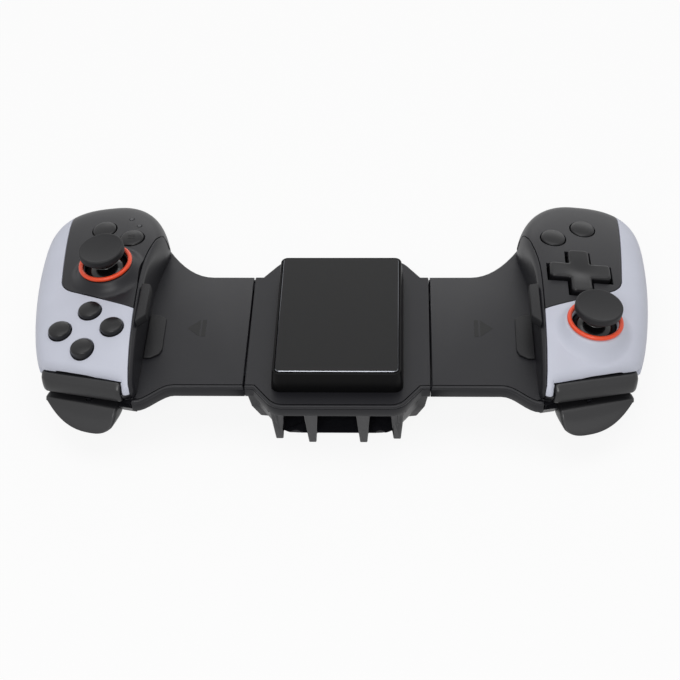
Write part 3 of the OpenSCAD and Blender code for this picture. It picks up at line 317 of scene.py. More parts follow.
# %% Skin formulas
OUT, IN, REAR, FRONT, MID, RIM = 23.7, 20.5, 28.8, 63.7, 20.0, -12.0
SWELL, DRAWN_IN, BULGE, FACE_POWER, PALM_POWER = 0.0001, 0.24, 2.2, 7, 4
OUT_REAR, OUT_FRONT, IN_REAR, IN_FRONT = 2.8, 10.0, 2.1, 6.0
CROWN_AT, CROWN_FLAT, PALM_AT, PALM_FLAT, PALM_DEEP = 4.5, 580, 14, 300, 20.7


def crown(v):
    return -(v - CROWN_AT) ** 2 / CROWN_FLAT


def share(u, v):
    ahead = np.minimum(0, v - MID)
    pu = np.where(u > 0, u / (1 - SWELL * ahead ** 2), u)
    pv = v
    for _ in range(10):
        pv = v - DRAWN_IN * (pu - FRONT_U) * (np.minimum(0, pv - MID) / FRONT) ** 2
    dv = pv - MID
    power = np.where(pu >= 0, np.where(dv >= 0, OUT_REAR, OUT_FRONT), np.where(dv >= 0, IN_REAR, IN_FRONT))
    across = np.abs(pu) / np.where(pu >= 0, OUT, IN)
    along = np.abs(dv) / np.where(dv >= 0, REAR, FRONT)
    return (across ** power + along ** power) ** (1 / power)


def face_skin(points):
    u, v, w = points.T
    return (np.maximum(0, w - RIM) / (crown(v) - RIM)) ** BULGE + share(u, v) ** FACE_POWER - 1


def palm_skin(points):
    u, v, w = points.T
    depth = PALM_DEEP - (v - PALM_AT) ** 2 / PALM_FLAT
    return (np.maximum(0, RIM - w) / depth) ** BULGE + share(u, v) ** PALM_POWER - 1


def face_w(u, v):
    edge = np.minimum(1, share(np.asarray(u, float), np.asarray(v, float)))
    return RIM + (crown(v) - RIM) * (1 - edge ** FACE_POWER) ** (1 / BULGE)


def slope(skin, points, step=0.01):
    shifts = np.eye(3) * step
    return np.stack([(skin(points + s) - skin(points - s)) / (2 * step) for s in shifts], 1)


print("face height at its crown", round(float(face_w(0, CROWN_AT)), 2), "mm")

# %% [markdown]
# Towards the phone each grip ends in a thin wall that stands on the wing. Its edge is a broad
# rounded shoulder, rounder at the rear. The wall's plane and the face are both distances, and a
# softened maximum of the two is one skin that turns the corner without a crease. The bay that the
# bumper sits in is cut out of the light shell in the same way, and its inner corner is a softened
# minimum.

# %% Shoulders of the phone wall and the bay
BAY_P, BAY_Q, BAY_CORNER, BAY_ROUND = 3.2, 3.4, 2.4, 1.8
WALL_U, WALL_BEND, SHOULDER, REAR_MORE = -16.1, 0.0053, 1.3, 0.9


def blended(first, second, radius):
    shared = np.maximum(0, radius - np.abs(first - second))
    return np.maximum(first, second) + shared ** 2 / (4 * radius)


def over_face(points):
    return face_skin(points) / (np.linalg.norm(slope(face_skin, points), axis=1) + 1e-3)


def wall_skin(points):
    v = points[:, 1]
    beyond = WALL_U - WALL_BEND * np.maximum(0, v) ** 2 - points[:, 0]
    return blended(over_face(points), beyond, SHOULDER + REAR_MORE * np.clip((v - 5) / 20, 0, 1))


def bay_skin(points):
    p, q = to_front(points)
    return blended(over_face(points), -blended(q - BAY_Q, BAY_P - p, BAY_CORNER), BAY_ROUND)


print("the shoulder turns from", SHOULDER, "to", SHOULDER + REAR_MORE, "mm")

# %% [markdown]
# A stick rises from a low mound that flares into the shell. Its foot is a wide soft curve and its
# shoulder a tight one. Two softened corners, one taken from the other, make that profile.

# %% Stick mounds
MOUND_H, MOUND_TOP, MOUND_FOOT, FOOT_SOFT, TOP_SOFT = 3.2, 9.3, 11.6, 0.7, 0.25


def softened(x, width):
    bend = np.clip(x + width, 0, 2 * width)
    return bend ** 2 / (4 * width) + np.maximum(0, x - width)


def mound_height(points, place):
    away = np.hypot(points[:, 0] - place[0], points[:, 1] - place[1])
    climb = (MOUND_FOOT - away) / (MOUND_FOOT - MOUND_TOP)
    rise = softened(climb, FOOT_SOFT) - softened(climb - 1, TOP_SOFT)
    base = face_w(points[:, 0], points[:, 1])
    return base + (float(face_w(*place)) + MOUND_H - base) * rise, away


def mound_slope(points, place, step=0.02):
    du, dv = np.array([step, 0, 0]), np.array([0, step, 0])
    gu = mound_height(points + du, place)[0] - mound_height(points - du, place)[0]
    gv = mound_height(points + dv, place)[0] - mound_height(points - dv, place)[0]
    return np.stack([-gu / (2 * step), -gv / (2 * step), np.ones(len(points))], 1)


STICKS = {"left": (-3.5, 5.0), "right": (0.7, -20.8)}
print("mounds", MOUND_H, "mm high under", len(STICKS), "sticks")

# %% [markdown]
# The CAD shells are exact at their seams and holes but flat between the ribs of their loft. To
# dress one, its triangles are split until they are fine, the points of the outer skin move onto
# the formula, and the last fraction of a millimetre before an edge rolls over into a lip. Edges
# are split for both neighbours at once, so the mesh stays closed.

# %% Split triangles


def split(points, tris, tags, chosen, between):
    ends = np.sort(np.stack([tris, np.roll(tris, -1, 1)], 2), 2).reshape(-1, 2)
    pairs, back = np.unique(ends, axis=0, return_inverse=True)
    back = back.reshape(-1, 3)
    on_skin = np.zeros(len(pairs), bool)
    on_skin[back[tags].ravel()] = True
    cut = chosen(pairs) & on_skin
    fresh = np.full(len(pairs), -1)
    fresh[cut] = len(points) + np.arange(cut.sum())
    points = np.vstack([points, between(pairs[cut])])
    mid = fresh[back]
    count = (mid >= 0).sum(1)
    made, kept = [tris[count == 0]], [tags[count == 0]]
    for number, lead in ((1, mid >= 0), (2, np.roll(mid < 0, 1, 1)), (3, np.ones_like(mid, bool))):
        rows = np.flatnonzero(count == number)
        shift = np.argmax(lead[rows], 1)
        order = (shift[:, None] + np.arange(3)) % 3
        a, b, c = np.take_along_axis(tris[rows], order, 1).T
        ab, bc, ca = np.take_along_axis(mid[rows], order, 1).T
        corners = {1: [(a, ab, c), (ab, b, c)],
                   2: [(ab, b, bc), (a, ab, bc), (a, bc, c)],
                   3: [(a, ab, ca), (ab, b, bc), (ca, bc, c), (ab, bc, ca)]}[number]
        made += [np.stack(corner, 1) for corner in corners]
        kept += [tags[rows]] * len(corners)
    return points, np.vstack(made), np.concatenate(kept), cut.sum()


def refined(points, tris, tags, longest, rounds=7):
    for _ in range(rounds):
        def long_edges(pairs):
            return np.linalg.norm(points[pairs[:, 0]] - points[pairs[:, 1]], axis=1) > longest

        points, tris, tags, cut = split(points, tris, tags, long_edges, lambda pairs: points[pairs].mean(1))
        if not cut:
            break
    return points, tris, tags


print("triangles can be split together with their neighbours")

# %% [markdown]
# Some pieces need a hole or a slot cut by another shape, or one joined to them. A Boolean modifier
# does it, and its result replaces the mesh, so nothing is left to evaluate later.

# %% Carve one piece by another


def evaluated(piece):
    return bpy.data.meshes.new_from_object(piece.evaluated_get(bpy.context.evaluated_depsgraph_get()))


def carve(piece, *cutters, operation="DIFFERENCE", sharp=35):
    for cutter in cutters:
        cut = piece.modifiers.new("cut", "BOOLEAN")
        cut.operation = operation
        cut.solver = "EXACT"
        cut.object = cutter
    made = evaluated(piece)
    piece.modifiers.clear()
    piece.data = made
    made.set_sharp_from_angle(angle=math.radians(sharp))
    for cutter in cutters:
        bpy.data.objects.remove(cutter)
    return piece


print("pieces can be carved")

# %% [markdown]
# Along the front of the deck a narrow slot runs a little way behind the edge, where the top plate
# meets its rim. The upper edges of the solid that face the triggers give its path. A thin strip
# along that path, set back by the rim's width, is the cutter.

# %% Slot along the front of the deck
DECK = 0.021
RIM_W, SLOT_W, SLOT_DEEP, RUN_OUT = 0.85 * MM, 0.36 * MM, 0.7 * MM, 0.8 * MM
SLOT_OVER, FRONT_EDGE, FORWARD = 0.4 * MM, -0.03, -0.25


def deck_edge(edge):
    if len(edge.link_faces) != 2 or not edge.is_convex:
        return False
    up, side = sorted((face.normal.z for face in edge.link_faces), reverse=True)
    return up > 0.99 and abs(side) < 0.05 and all(abs(v.co.z - DECK) < 1e-5 for v in edge.verts)


def merged_solid(node):
    copy = bmesh.new()
    copy.from_mesh(nodes[node].data)
    bmesh.ops.remove_doubles(copy, verts=copy.verts, dist=2e-6)
    bmesh.ops.dissolve_limit(copy, angle_limit=0.005, verts=copy.verts, edges=copy.edges)
    return copy


def slot_cutter(node):
    copy = merged_solid(node)
    path = {}
    for edge in filter(deck_edge, copy.edges):
        facing = min(edge.link_faces, key=lambda face: face.normal.z).normal.xy
        if facing.y < FORWARD and edge.verts[0].co.y < FRONT_EDGE:
            for vert in edge.verts:
                path.setdefault(tuple(vert.co.xy), []).append(facing)
    copy.free()
    rows = [(Vector(at), -sum(sides, Vector((0, 0))).normalized()) for at, sides in sorted(path.items())]
    first, last = rows[0], rows[-1]
    rows.insert(0, (first[0] + (first[0] - rows[1][0]).normalized() * RUN_OUT, first[1]))
    rows.append((last[0] + (last[0] - rows[-2][0]).normalized() * RUN_OUT, last[1]))
    points = []
    for at, inward in rows:
        near, far = (at + inward * (RIM_W + shift) for shift in (0, SLOT_W))
        for spot, z in ((near, -SLOT_DEEP), (near, SLOT_OVER), (far, SLOT_OVER), (far, -SLOT_DEEP)):
            points.append((spot.x / MM, spot.y / MM, (DECK + z) / MM))
    return outward(mesh_piece(node + "_slot", points, bridge(len(rows), 4, caps=True), charcoal_shell), 30)


print("slots are", SLOT_W / MM, "mm wide")

# %% [markdown]
# Caps, buttons, rings and domes are all turned shapes. A lathe takes a profile of radius and
# height and spins it round the axis of its place on the face. The two ends of the profile lie on
# the axis, so the mesh closes by itself once the doubles there are merged. A ring's profile closes
# on itself instead.

# %% A lathe on the face


def lathe(name, profile, place, side, material, lift=0.0, turns=64, sharp=35, ring=False):
    angles = np.arange(turns) * 2 * math.pi / turns
    points = []
    for r, z in profile:
        points += [(place[0] + r * math.cos(a), place[1] + r * math.sin(a), z + lift) for a in angles]
    faces = bridge(len(profile), turns, ring)
    return outward(mesh_piece(name, to_world(points, side), faces, material, sharp), sharp, merge=True)


def arc(centre_r, centre_z, radius, start, end, steps=6):
    spread = [math.radians(start + (end - start) * i / steps) for i in range(steps + 1)]
    return [(centre_r + radius * math.cos(a), centre_z + radius * math.sin(a)) for a in spread]


print("the lathe is ready")

# %% [markdown]
# The right mound stands where the face falls away to the front, so it needs a deeper foot there. It
# is half a ring whose lower edge follows the face. The room that the stick's dome turns in is cut
# out of it again.

# %% Foot under the mound
PIVOT, DOME_ROOM = 6.0, 10.85
FOOT_IN, FOOT_MID, FOOT_OUT, FOOT_STEPS = 9, 12.2, 12.55, 60
FOOT_TOP, FOOT_EDGE, FOOT_LEAST, FOOT_SINK = 1, 1.15, 1.3, 1.2


def half_circle(radius, middle, steps):
    return [(radius * math.sin(a), middle - radius * math.cos(a)) for a in np.linspace(0, math.pi, steps)]


def mound_foot(place, side):
    base = float(face_w(*place))
    rows = []
    for angle in np.radians(np.linspace(-178, -2, FOOT_STEPS)):
        out = np.array([math.cos(angle), math.sin(angle)])
        inner, middle, outer = (place + r * out for r in (FOOT_IN, FOOT_MID, FOOT_OUT))
        lows = [min(base - FOOT_LEAST, float(face_w(*spot)) - FOOT_SINK) for spot in (outer, inner)]
        rows += [(*inner, base - FOOT_TOP), (*middle, base - FOOT_TOP), (*outer, base - FOOT_EDGE)]
        rows += [(*outer, lows[0]), (*inner, lows[1])]
    faces = bridge(FOOT_STEPS, 5, caps=True)
    foot = outward(mesh_piece("mound_foot", to_world(rows, side), faces, lavender_shell), 30)
    room = half_circle(DOME_ROOM, -PIVOT, 33)
    return carve(foot, lathe("dome_room", room, place, side, lavender_shell, base))


print("the foot follows the falling face")

# %% [markdown]
# Reading a solid gives its triangles. The upper edge of the deck, where there is one, is rounded on
# the way and gets its slot, and the right light shell gets the foot of its mound.

# %% Read a solid
DECK_ROUND = 0.45


def through_boolean(copy, node, cutter, operation):
    mesh = bpy.data.meshes.new(node + "_cut")
    copy.to_mesh(mesh)
    piece = carve(settle(node + "_cut", mesh, charcoal_shell), cutter, operation=operation)
    copy.clear()
    copy.from_mesh(piece.data)
    bpy.data.objects.remove(piece)


def read_solid(node):
    copy = merged_solid(node)
    edges = [edge for edge in copy.edges if deck_edge(edge)]
    if edges:
        bmesh.ops.bevel(copy, geom=edges, offset=DECK_ROUND * MM, segments=3, profile=0.5, affect="EDGES")
        through_boolean(copy, node, slot_cutter(node), "DIFFERENCE")
    if node == "right_light_shell":
        through_boolean(copy, node, mound_foot(STICKS["right"], 1), "UNION")
    bmesh.ops.triangulate(copy, faces=copy.faces)
    copy.verts.index_update()
    points = np.array([v.co for v in copy.verts]) / MM
    tris = np.array([[v.index for v in f.verts] for f in copy.faces])
    copy.free()
    return points, tris


print("the deck's edge is rounded by", DECK_ROUND, "mm")

# %% [markdown]
# The skin is found by two tests: all three corners lie close to the formula, and the triangle faces
# the way the formula's slope points, which leaves out the cut walls that only touch the skin along
# an edge. On a mound's flank the tests are wider, because there the solid is a plain cone.

# %% Find the skin
MOUND_EDGE, MOUND_LOW, FLANK_IN, FLANK_SINK = 13.8, -9, 9.25, -0.8
ALIKE, FLANK_ALIKE = 0.4, -0.2


def near_mound(points, radius):
    return (radius < MOUND_EDGE) & (points[:, 2] > MOUND_LOW)


def off_skin(points, skin, place):
    lean = slope(skin, points)
    size = np.linalg.norm(lean, axis=1) + 1e-9
    away = skin(points) / size
    lean = lean / size[:, None]
    if place is not None:
        height, radius = mound_height(points, place)
        near = near_mound(points, radius)
        rise = mound_slope(points[near], place)
        away[near] = points[near, 2] - height[near]
        lean[near] = rise / np.linalg.norm(rise, axis=1)[:, None]
    return away, lean


def find_skin(points, tris, skin, place, reach):
    away, lean = off_skin(points, skin, place)
    a, b, c = (points[tris[:, i]] for i in range(3))
    facing = np.cross(b - a, c - a)
    facing /= np.linalg.norm(facing, axis=1)[:, None] + 1e-12
    agree = (facing * lean[tris].mean(1)).sum(1)
    tags = (np.abs(away[tris]) < reach).all(1) & (agree > ALIKE)
    if place is not None:
        radius = mound_height(points, place)[1]
        flank = (radius > FLANK_IN) & (radius < MOUND_EDGE) & (away > FLANK_SINK)
        tags |= flank[tris].all(1) & (agree > FLANK_ALIKE)
    return tags


def merged(points, tris, tags):
    found = np.unique(np.round(points, 3), axis=0, return_index=True, return_inverse=True)
    first, back = found[1:]
    tris = back.reshape(-1)[tris]
    kept = (tris != np.roll(tris, 1, 1)).all(1)
    return points[first], tris[kept], tags[kept]


print("skins are found by formula")

# %% [markdown]
# The points now move onto the skin by a few Newton steps along the slope. Over a mound they are
# simply lifted to its height.

# %% Move points onto the skin


def onto_skin(points, chosen, skin, place):
    moved = points.copy()
    for _ in range(6):
        part = moved[chosen]
        lean = slope(skin, part)
        step = skin(part) / ((lean ** 2).sum(1) + 1e-9)
        moved[chosen] = part - np.clip(step, -2, 2)[:, None] * lean
    if place is not None:
        height, radius = mound_height(points, place)
        near = chosen & near_mound(points, radius)
        moved[near] = points[near]
        moved[near, 2] = height[near]
    return moved


def rim_edges(tris, tags):
    ends = np.stack([tris[tags], np.roll(tris[tags], -1, 1)], 2).reshape(-1, 2)
    ends.sort(axis=1)
    pairs, times = np.unique(ends, axis=0, return_counts=True)
    return pairs[times == 1]


print("skins are smoothed by formula")

# %% [markdown]
# A moulded edge is never a knife. Within the lip's radius of the rim, a point sinks along an arc,
# and three rings of points carry that arc. The distance comes from a tree of points along the rim.

# %% Roll the rim into a lip
LIP, RIM_STEP, RING_GAP = 0.22, 0.08, 0.04
LIP_RINGS = (1.0, 0.55, 0.2)


def rim_reach(points, rim):
    tree_points = []
    for a, b in rim:
        steps = max(2, int(np.linalg.norm(points[a] - points[b]) / RIM_STEP) + 1)
        tree_points += list(points[a] + (points[b] - points[a]) * np.linspace(0, 1, steps)[:, None])
    tree = kdtree.KDTree(len(tree_points))
    for i, p in enumerate(tree_points):
        tree.insert(p, i)
    tree.balance()
    return np.array([tree.find(p)[2] for p in points]) / LIP


print("lips have", len(LIP_RINGS), "rings")

# %% [markdown]
# Here the steps come together. The shelf of the palm's shell below the bumper is drawn back first,
# so that the bumper's foot hides it. Then the skin is found, split and smoothed, and rings of points
# are laid along its rim.

# %% Dress a shell
SHELF_LOW, SHELF_HIGH, SHELF_BACK = -17.1, -15.5, 4.4


def draw_shelf_back(points):
    p, q = to_front(points)
    edge = (q < 1) & (p > 1) & (points[:, 2] > SHELF_LOW) & (points[:, 2] < SHELF_HIGH)
    points[edge] += SHELF_BACK * np.array([-math.sin(SLANT), math.cos(SLANT), 0])


def dressed(node, side, skin, place=None, fine=1.0, reach=0.45):
    world, tris = read_solid(node)
    points = to_grip(world, side)
    if skin is palm_skin:
        draw_shelf_back(points)
    if side < 0:
        tris = tris[:, ::-1]
    tags = find_skin(points, tris, skin, place, reach)
    points, tris, tags = refined(points, tris, tags, fine)
    chosen = np.zeros(len(points), bool)
    chosen[tris[tags]] = True
    points, tris, tags = merged(onto_skin(points, chosen, skin, place), tris, tags)
    rim = rim_edges(tris, tags)
    reach_out = rim_reach(points, rim)
    for ring in LIP_RINGS:
        def crossing(pairs):
            gap = reach_out[pairs] - ring
            return (gap[:, 0] * gap[:, 1] < 0) & (np.abs(gap).min(1) > RING_GAP)

        def on_ring(pairs):
            gap = np.abs(reach_out[pairs] - ring)
            part = gap[:, :1] / gap.sum(1, keepdims=True)
            return points[pairs[:, 0]] * (1 - part) + points[pairs[:, 1]] * part

        points, tris, tags, cut = split(points, tris, tags, crossing, on_ring)
        reach_out = np.concatenate([reach_out, np.full(cut, ring)])
    return roll_over(node, side, points, tris, tags, reach_out, skin, place)


print("shells go through", LIP_RINGS)

# %% [markdown]
# The lip sinks along the slope by the height of a quarter circle. On the open skin the exact slope
# is stored as custom normals, so even the thin triangles along a cut reflect like the smooth skin
# that they lie on. The lip and the walls get Blender's own normals.

# %% Roll over and write the mesh
ON_RIM, OPEN_SKIN = 0.02, 0.99


def roll_over(node, side, points, tris, tags, reach_out, skin, place):
    chosen = np.zeros(len(points), bool)
    chosen[tris[tags]] = True
    points = onto_skin(points, chosen & (reach_out > ON_RIM), skin, place)
    lean = off_skin(points, skin, place)[1]
    lip = chosen & (reach_out < 1)
    sink = 1 - np.sqrt(1 - (1 - reach_out[lip]) ** 2)
    points[lip] -= (sink * LIP)[:, None] * lean[lip]
    ends = to_world(points, side)
    faces = tris if side > 0 else tris[:, ::-1]
    piece = mesh_piece(node + "_skin", ends, faces, finish_of[slot_of[node]], 40)
    exact = to_world(points + lean, side) - ends
    on_open = chosen & (reach_out >= OPEN_SKIN)
    loops = np.zeros((len(faces) * 3, 3))
    corner = faces.ravel()
    use = on_open[corner] & np.repeat(tags, 3)
    loops[use] = exact[corner[use]]
    piece.data.normals_split_custom_set(loops.tolist())
    print(node, len(tris), "triangles,", int(tags.sum()), "of them skin")
    return seat(piece, node)


for side, sign in SIDES.items():
    dressed(side + "_light_shell", sign, bay_skin, STICKS["right"] if sign > 0 else None, 0.8, reach=1.8)
    dressed(side + "_dark_panel", sign, face_skin, STICKS["left"] if sign < 0 else None, reach=1.8)
    dressed(side + "_back_shell", sign, palm_skin, None, 1.4)
    dressed(side + "_wing_frame", sign, wall_skin, None, 0.8, reach=0.75)

# %% [markdown]
# The back shell is cut away along the wing. A heel closes the corner that is left behind the wing's
# root. Its outline is searched on the palm's skin, level by level, up to the rim.

# %% Heel behind the wing
HEEL_X, HEEL_Y, HEEL_LOW, HEEL_LEVELS = 66.3, 31.1, 16.35, 7
BEYOND_X, BEYOND_Y, BELOW_RIM = 50, 48, 0.05


def searched(inside, low, high):
    for _ in range(40):
        middle = (low + high) / 2
        low, high = (low, middle) if inside(middle) else (middle, high)
    return high


def under_skin(x, y, z):
    return palm_skin(to_grip([(x, y, z)], 1))[0] < 0


def heel_level(part):
    def at(x):
        rim = FACE_Z + (RIM - BELOW_RIM) / math.cos(LEAN) - (x - FACE_X) * math.tan(LEAN)
        return HEEL_LOW + (rim - HEEL_LOW) * part

    first = searched(lambda x: under_skin(x, HEEL_Y, at(x)), BEYOND_X, HEEL_X)
    edge = []
    for x in np.linspace(first, HEEL_X, 10)[1:]:
        edge.append((x, -searched(lambda y: under_skin(x, -y, at(x)), -BEYOND_Y, -HEEL_Y), at(x)))
    return [(HEEL_X, HEEL_Y, at(HEEL_X)), (first, HEEL_Y, at(first))] + edge


levels = [heel_level(part) for part in np.linspace(0, 1, HEEL_LEVELS)]
faces = bridge(HEEL_LEVELS, len(levels[0]), caps=True)
for side, sign in SIDES.items():
    points = [(sign * x, y, z) for level in levels for x, y, z in level]
    heel = outward(mesh_piece(side + "_heel", points, faces, charcoal_shell), 30)
    seat(heel, side + "_back_shell")
print("heel reaches", round(levels[-1][-1][1], 1), "mm back")

# %% [markdown]
# Flat plates and ribs keep their CAD form. A real moulding has its corners broken by a few tenths
# of a millimetre, and that thin band is what catches the light. Coplanar triangles are joined
# first, so the bevel follows the true edges and not the triangles. Each wing's lower cover is drawn
# up to the seam, so that no light shows through there.

# %% Break the corners of a solid
NEAR_FLAT, TRUE_EDGE = math.radians(0.6), math.radians(32)
SEAM_NEAR, SEAM_AT = 0.0309, 0.03018


def broken_corners(node, width, material):
    copy = merged_solid(node)
    bmesh.ops.dissolve_limit(copy, angle_limit=NEAR_FLAT, verts=copy.verts, edges=copy.edges)
    mesh = bpy.data.meshes.new(node + "_edges")
    copy.to_mesh(mesh)
    copy.free()
    rough = bpy.data.objects.new(node + "_edges", mesh)
    scene.collection.objects.link(rough)
    bevel = rough.modifiers.new("broken", "BEVEL")
    bevel.width = width * MM
    bevel.segments = 4 if width > 0.4 else 2
    bevel.limit_method = "ANGLE"
    bevel.angle_limit = TRUE_EDGE
    bevel.use_clamp_overlap = False
    made = evaluated(rough)
    bpy.data.objects.remove(rough)
    return settle(node + "_moulded", made, material, 30)


def meet_seam(piece):
    for point in piece.data.vertices:
        if abs(point.co.x) < SEAM_NEAR:
            point.co.x = math.copysign(SEAM_AT, point.co.x)


CORNERS = {"centre_cover": 0.4, "centre_housing": 0.3, "fan_frame": 0.2}
for side in SIDES:
    CORNERS.update({side + "_wing_cover": 0.25, side + "_slide_fork": 0.12, side + "_phone_hook": 0.45,
                    side + "_floor_pad": 0.3})
for node, width in CORNERS.items():
    own_finish = oxide_steel if "slide_fork" in node else finish_of[slot_of[node]]
    piece = broken_corners(node, width, own_finish)
    if "wing_cover" in node:
        meet_seam(piece)
    if node == "centre_cover":
        carve(piece, slot_cutter(node), sharp=20)
    seat(piece, node)
    print(node, len(piece.data.polygons), "faces")

# %% [markdown]
# The cooler is a black frame with an aluminium plate let into it. Both are stacks of rounded
# rectangles, so one function bridges any list of them. The plate is coloured first and then cut
# round its upper edge, which leaves a thin chamfer of bare metal.

# %% Stack rounded rectangles
COOLER_Y, PLATE_X, PLATE_Y, PLATE_R = -10.2, 19.75, 27.35, 1.4


def rounded_rectangle(x, y, radius, steps=8):
    outline = []
    for turn, (sx, sy) in enumerate(((1, 1), (-1, 1), (-1, -1), (1, -1))):
        for step in range(steps + 1):
            angle = math.radians(90 * turn + 90 * step / steps)
            outline.append((sx * (x - radius) + radius * math.cos(angle),
                            COOLER_Y + sy * (y - radius) + radius * math.sin(angle)))
    return outline


def stacked(name, levels, material, ring=False):
    rows = [[(px, py, z) for px, py in rounded_rectangle(PLATE_X + out, PLATE_Y + out, PLATE_R + out)]
            for out, z in levels]
    faces = bridge(len(rows), len(rows[0]), ring, caps=not ring)
    return mesh_piece(name, sum(rows, []), faces, material, 25)


plate_low, plate_high = (edge[2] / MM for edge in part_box("cold_plate"))
frame_low, frame_high = (edge[2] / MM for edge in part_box("cooler_frame"))
print("plate from", round(plate_low, 2), "to", round(plate_high, 2), "mm")

# %% Cold plate with a bright chamfer
CUT = 0.18
plate_levels = [(0, plate_low), (0, plate_high - CUT), (-CUT, plate_high)]
plate = stacked("cold_plate_cut", plate_levels, blasted_plate)
plate.data.materials.append(bright_cut)
for face in plate.data.polygons:
    if 0.4 < face.normal.z < 0.9:
        face.material_index = 1
seat(plate, "cold_plate")
rim = [(1.65, frame_low), (1.0, frame_high - 0.35), (0.9, frame_high - 0.1), (0.7, frame_high),
       (0.3, frame_high), (0.1, frame_high - 0.2), (0.1, plate_low), (-1.0, plate_low), (-1.0, frame_low)]
seat(stacked("cooler_frame_rim", rim, black_frame, ring=True), "cooler_frame")
print("chamfer faces", sum(face.material_index for face in plate.data.polygons))

# %% [markdown]
# A thumbstick is three turned pieces: an orange bead let into the mound, a glossy dome that closes
# the hole whatever the tilt, and a rubber cap shaped like a mushroom with a dished top.

# %% Turn the sticks
CAP_TOP, CAP_R, CAP_T, CAP_ROUND, DISH_R, DISH_EDGE, DISH_DEEP = 10.6, 7.7, 3.0, 0.42, 6.5, 0.2, 0.7
BEAD_AT, BEAD_R, DOME_IN, DOME_OUT, DOME_LOW, NECK_R = 8.4, 0.75, 9.4, 10.4, -7.6, 3.3
under = CAP_TOP - CAP_T
bead = arc(BEAD_AT, MOUND_H + BEAD_R, BEAD_R, -180, 180, 24)[:-1]
cap = [(0, under + 1.5), (NECK_R, under + 1.5), (NECK_R, under), (5.2, under), (5.75, under - 0.45)]
cap += arc(6.2, under - 0.2, 0.4, -110, -45, 4) + arc(CAP_R - 0.5, under + 1.1, 0.5, -35, 0, 3)
cap += arc(CAP_R - CAP_ROUND, CAP_TOP - CAP_ROUND, CAP_ROUND, 0, 90, 5)
cap += [(7.05, CAP_TOP), (6.75, CAP_TOP - 0.12)]
for r in (DISH_R, 5.5, 4.5, 3.5, 2.5, 1.5, 0.7, 0):
    cap.append((r, CAP_TOP - DISH_EDGE - DISH_DEEP * (1 - (r / DISH_R) ** 2)))
dome = [(0, DOME_LOW), (2.2, DOME_LOW)]
dome += arc(0, -PIVOT, DOME_IN, 76, 24, 12) + arc(0, -PIVOT, DOME_OUT, 34.2, 70, 14)
dome += [(NECK_R, 4.0), (3.2, 4.4), (3.2, under + 0.8), (0, under + 0.8)]
for side, sign in SIDES.items():
    place = STICKS[side]
    base = float(face_w(*place))
    seat(lathe(side + "_stick_bead", bead, place, sign, orange_bead, base, ring=True), side + "_stick_ring")
    seat(lathe(side + "_stick_thumb", cap, place, sign, soft_rubber, base), side + "_stick_cap")
    seat(lathe(side + "_stick_ball", dome, place, sign, gloss_frame, base), side + "_stick_dome")
print("stick caps", 2 * CAP_R, "mm across")

# %% [markdown]
# Buttons are low domes with a rounded rim. Under the shell each has a flange that keeps it in and
# a stem down to its switch. The profile runs from the foot of the stem to the crown.

# %% Turn the buttons
STEM_R, STEM_END, FLANGE_LOW, FLANGE_OUT, FLANGE_T, KEY_ROUND = 2, -9.4, -4.8, 0.6, 0.8, 0.65


def button(node, place, sign, radius, proud, crown_rise):
    base = float(face_w(*place))
    flange, flange_top = radius + FLANGE_OUT, FLANGE_LOW + FLANGE_T
    profile = [(0, STEM_END - base), (STEM_R, STEM_END - base), (STEM_R, FLANGE_LOW)]
    profile += [(flange, FLANGE_LOW), (flange, flange_top), (radius, flange_top)]
    profile += arc(radius - KEY_ROUND, proud - KEY_ROUND - crown_rise, KEY_ROUND, 0, 70, 6)
    rim = profile[-1]
    for i in range(1, 7):
        part = 1 - i / 6
        profile.append((rim[0] * part, proud + (rim[1] - proud) * part ** 2))
    return seat(lathe(node + "_dome", profile, place, sign, satin_key, base, 48), node)


print("stems end at", STEM_END, "mm in the grip's frame")

# %% Press the buttons into place
FACE_KEY = {"radius": 3.75, "proud": 1.65, "crown_rise": 0.35}
FACE_PLACES = {"front": (1.1, -28.7), "rear": (0.2, -13.5), "inner": (-8.05, -21.1), "outer": (9.35, -21.1)}
FUNCTION_KEY = {"radius": 4.15, "proud": 0.85, "crown_rise": 0.3}
FUNCTION_PLACES = {"outer": (1.4, 28.8), "inner": (-9.3, 22.4)}
for name, place in FACE_PLACES.items():
    button("face_button_" + name, place, -1, **FACE_KEY)
for side, sign in SIDES.items():
    for name, place in FUNCTION_PLACES.items():
        button(side + "_function_" + name, place, sign, **FUNCTION_KEY)
print("buttons are", 2 * FACE_KEY["radius"], "and", 2 * FUNCTION_KEY["radius"], "mm across")

# %% [markdown]
# The direction pad is a cross with rounded arms and a dished middle, where the thumb rests. One
# outline is drawn at several insets, and the rings climb a quarter circle at the edge. The flat top
# is then split finely and pressed down, deepest at the centre.

# %% Outline of the cross
PAD_AT, PAD_HALF, PAD_ARM, PAD_PROUD, PAD_ROUND = (-1.8, 4.4), 10.2, 3.55, 1.6, 0.9
INNER_R, TIP_R = 0.5, 1.5


def cross_outline(inset):
    h, a = PAD_HALF - inset, PAD_ARM - inset
    quarter = [(a, h), (a, a), (h, a)]
    corners = []
    for turn in range(4):
        spin = math.radians(-90 * turn)
        corners += [(x * math.cos(spin) - y * math.sin(spin), x * math.sin(spin) + y * math.cos(spin))
                    for x, y in quarter]
    corners = [Vector(corner) for corner in corners]
    outline = []
    for i, corner in enumerate(corners):
        back = (corners[i - 1] - corner).normalized()
        on = (corners[(i + 1) % 12] - corner).normalized()
        radius = INNER_R + inset if i % 3 == 1 else TIP_R - inset
        centre = corner + radius * (back + on)
        for step in range(7):
            angle = math.radians(15 * step)
            outline.append(centre - radius * (on * math.cos(angle) + back * math.sin(angle)))
    return outline


print("cross outline of", len(cross_outline(0)), "points")

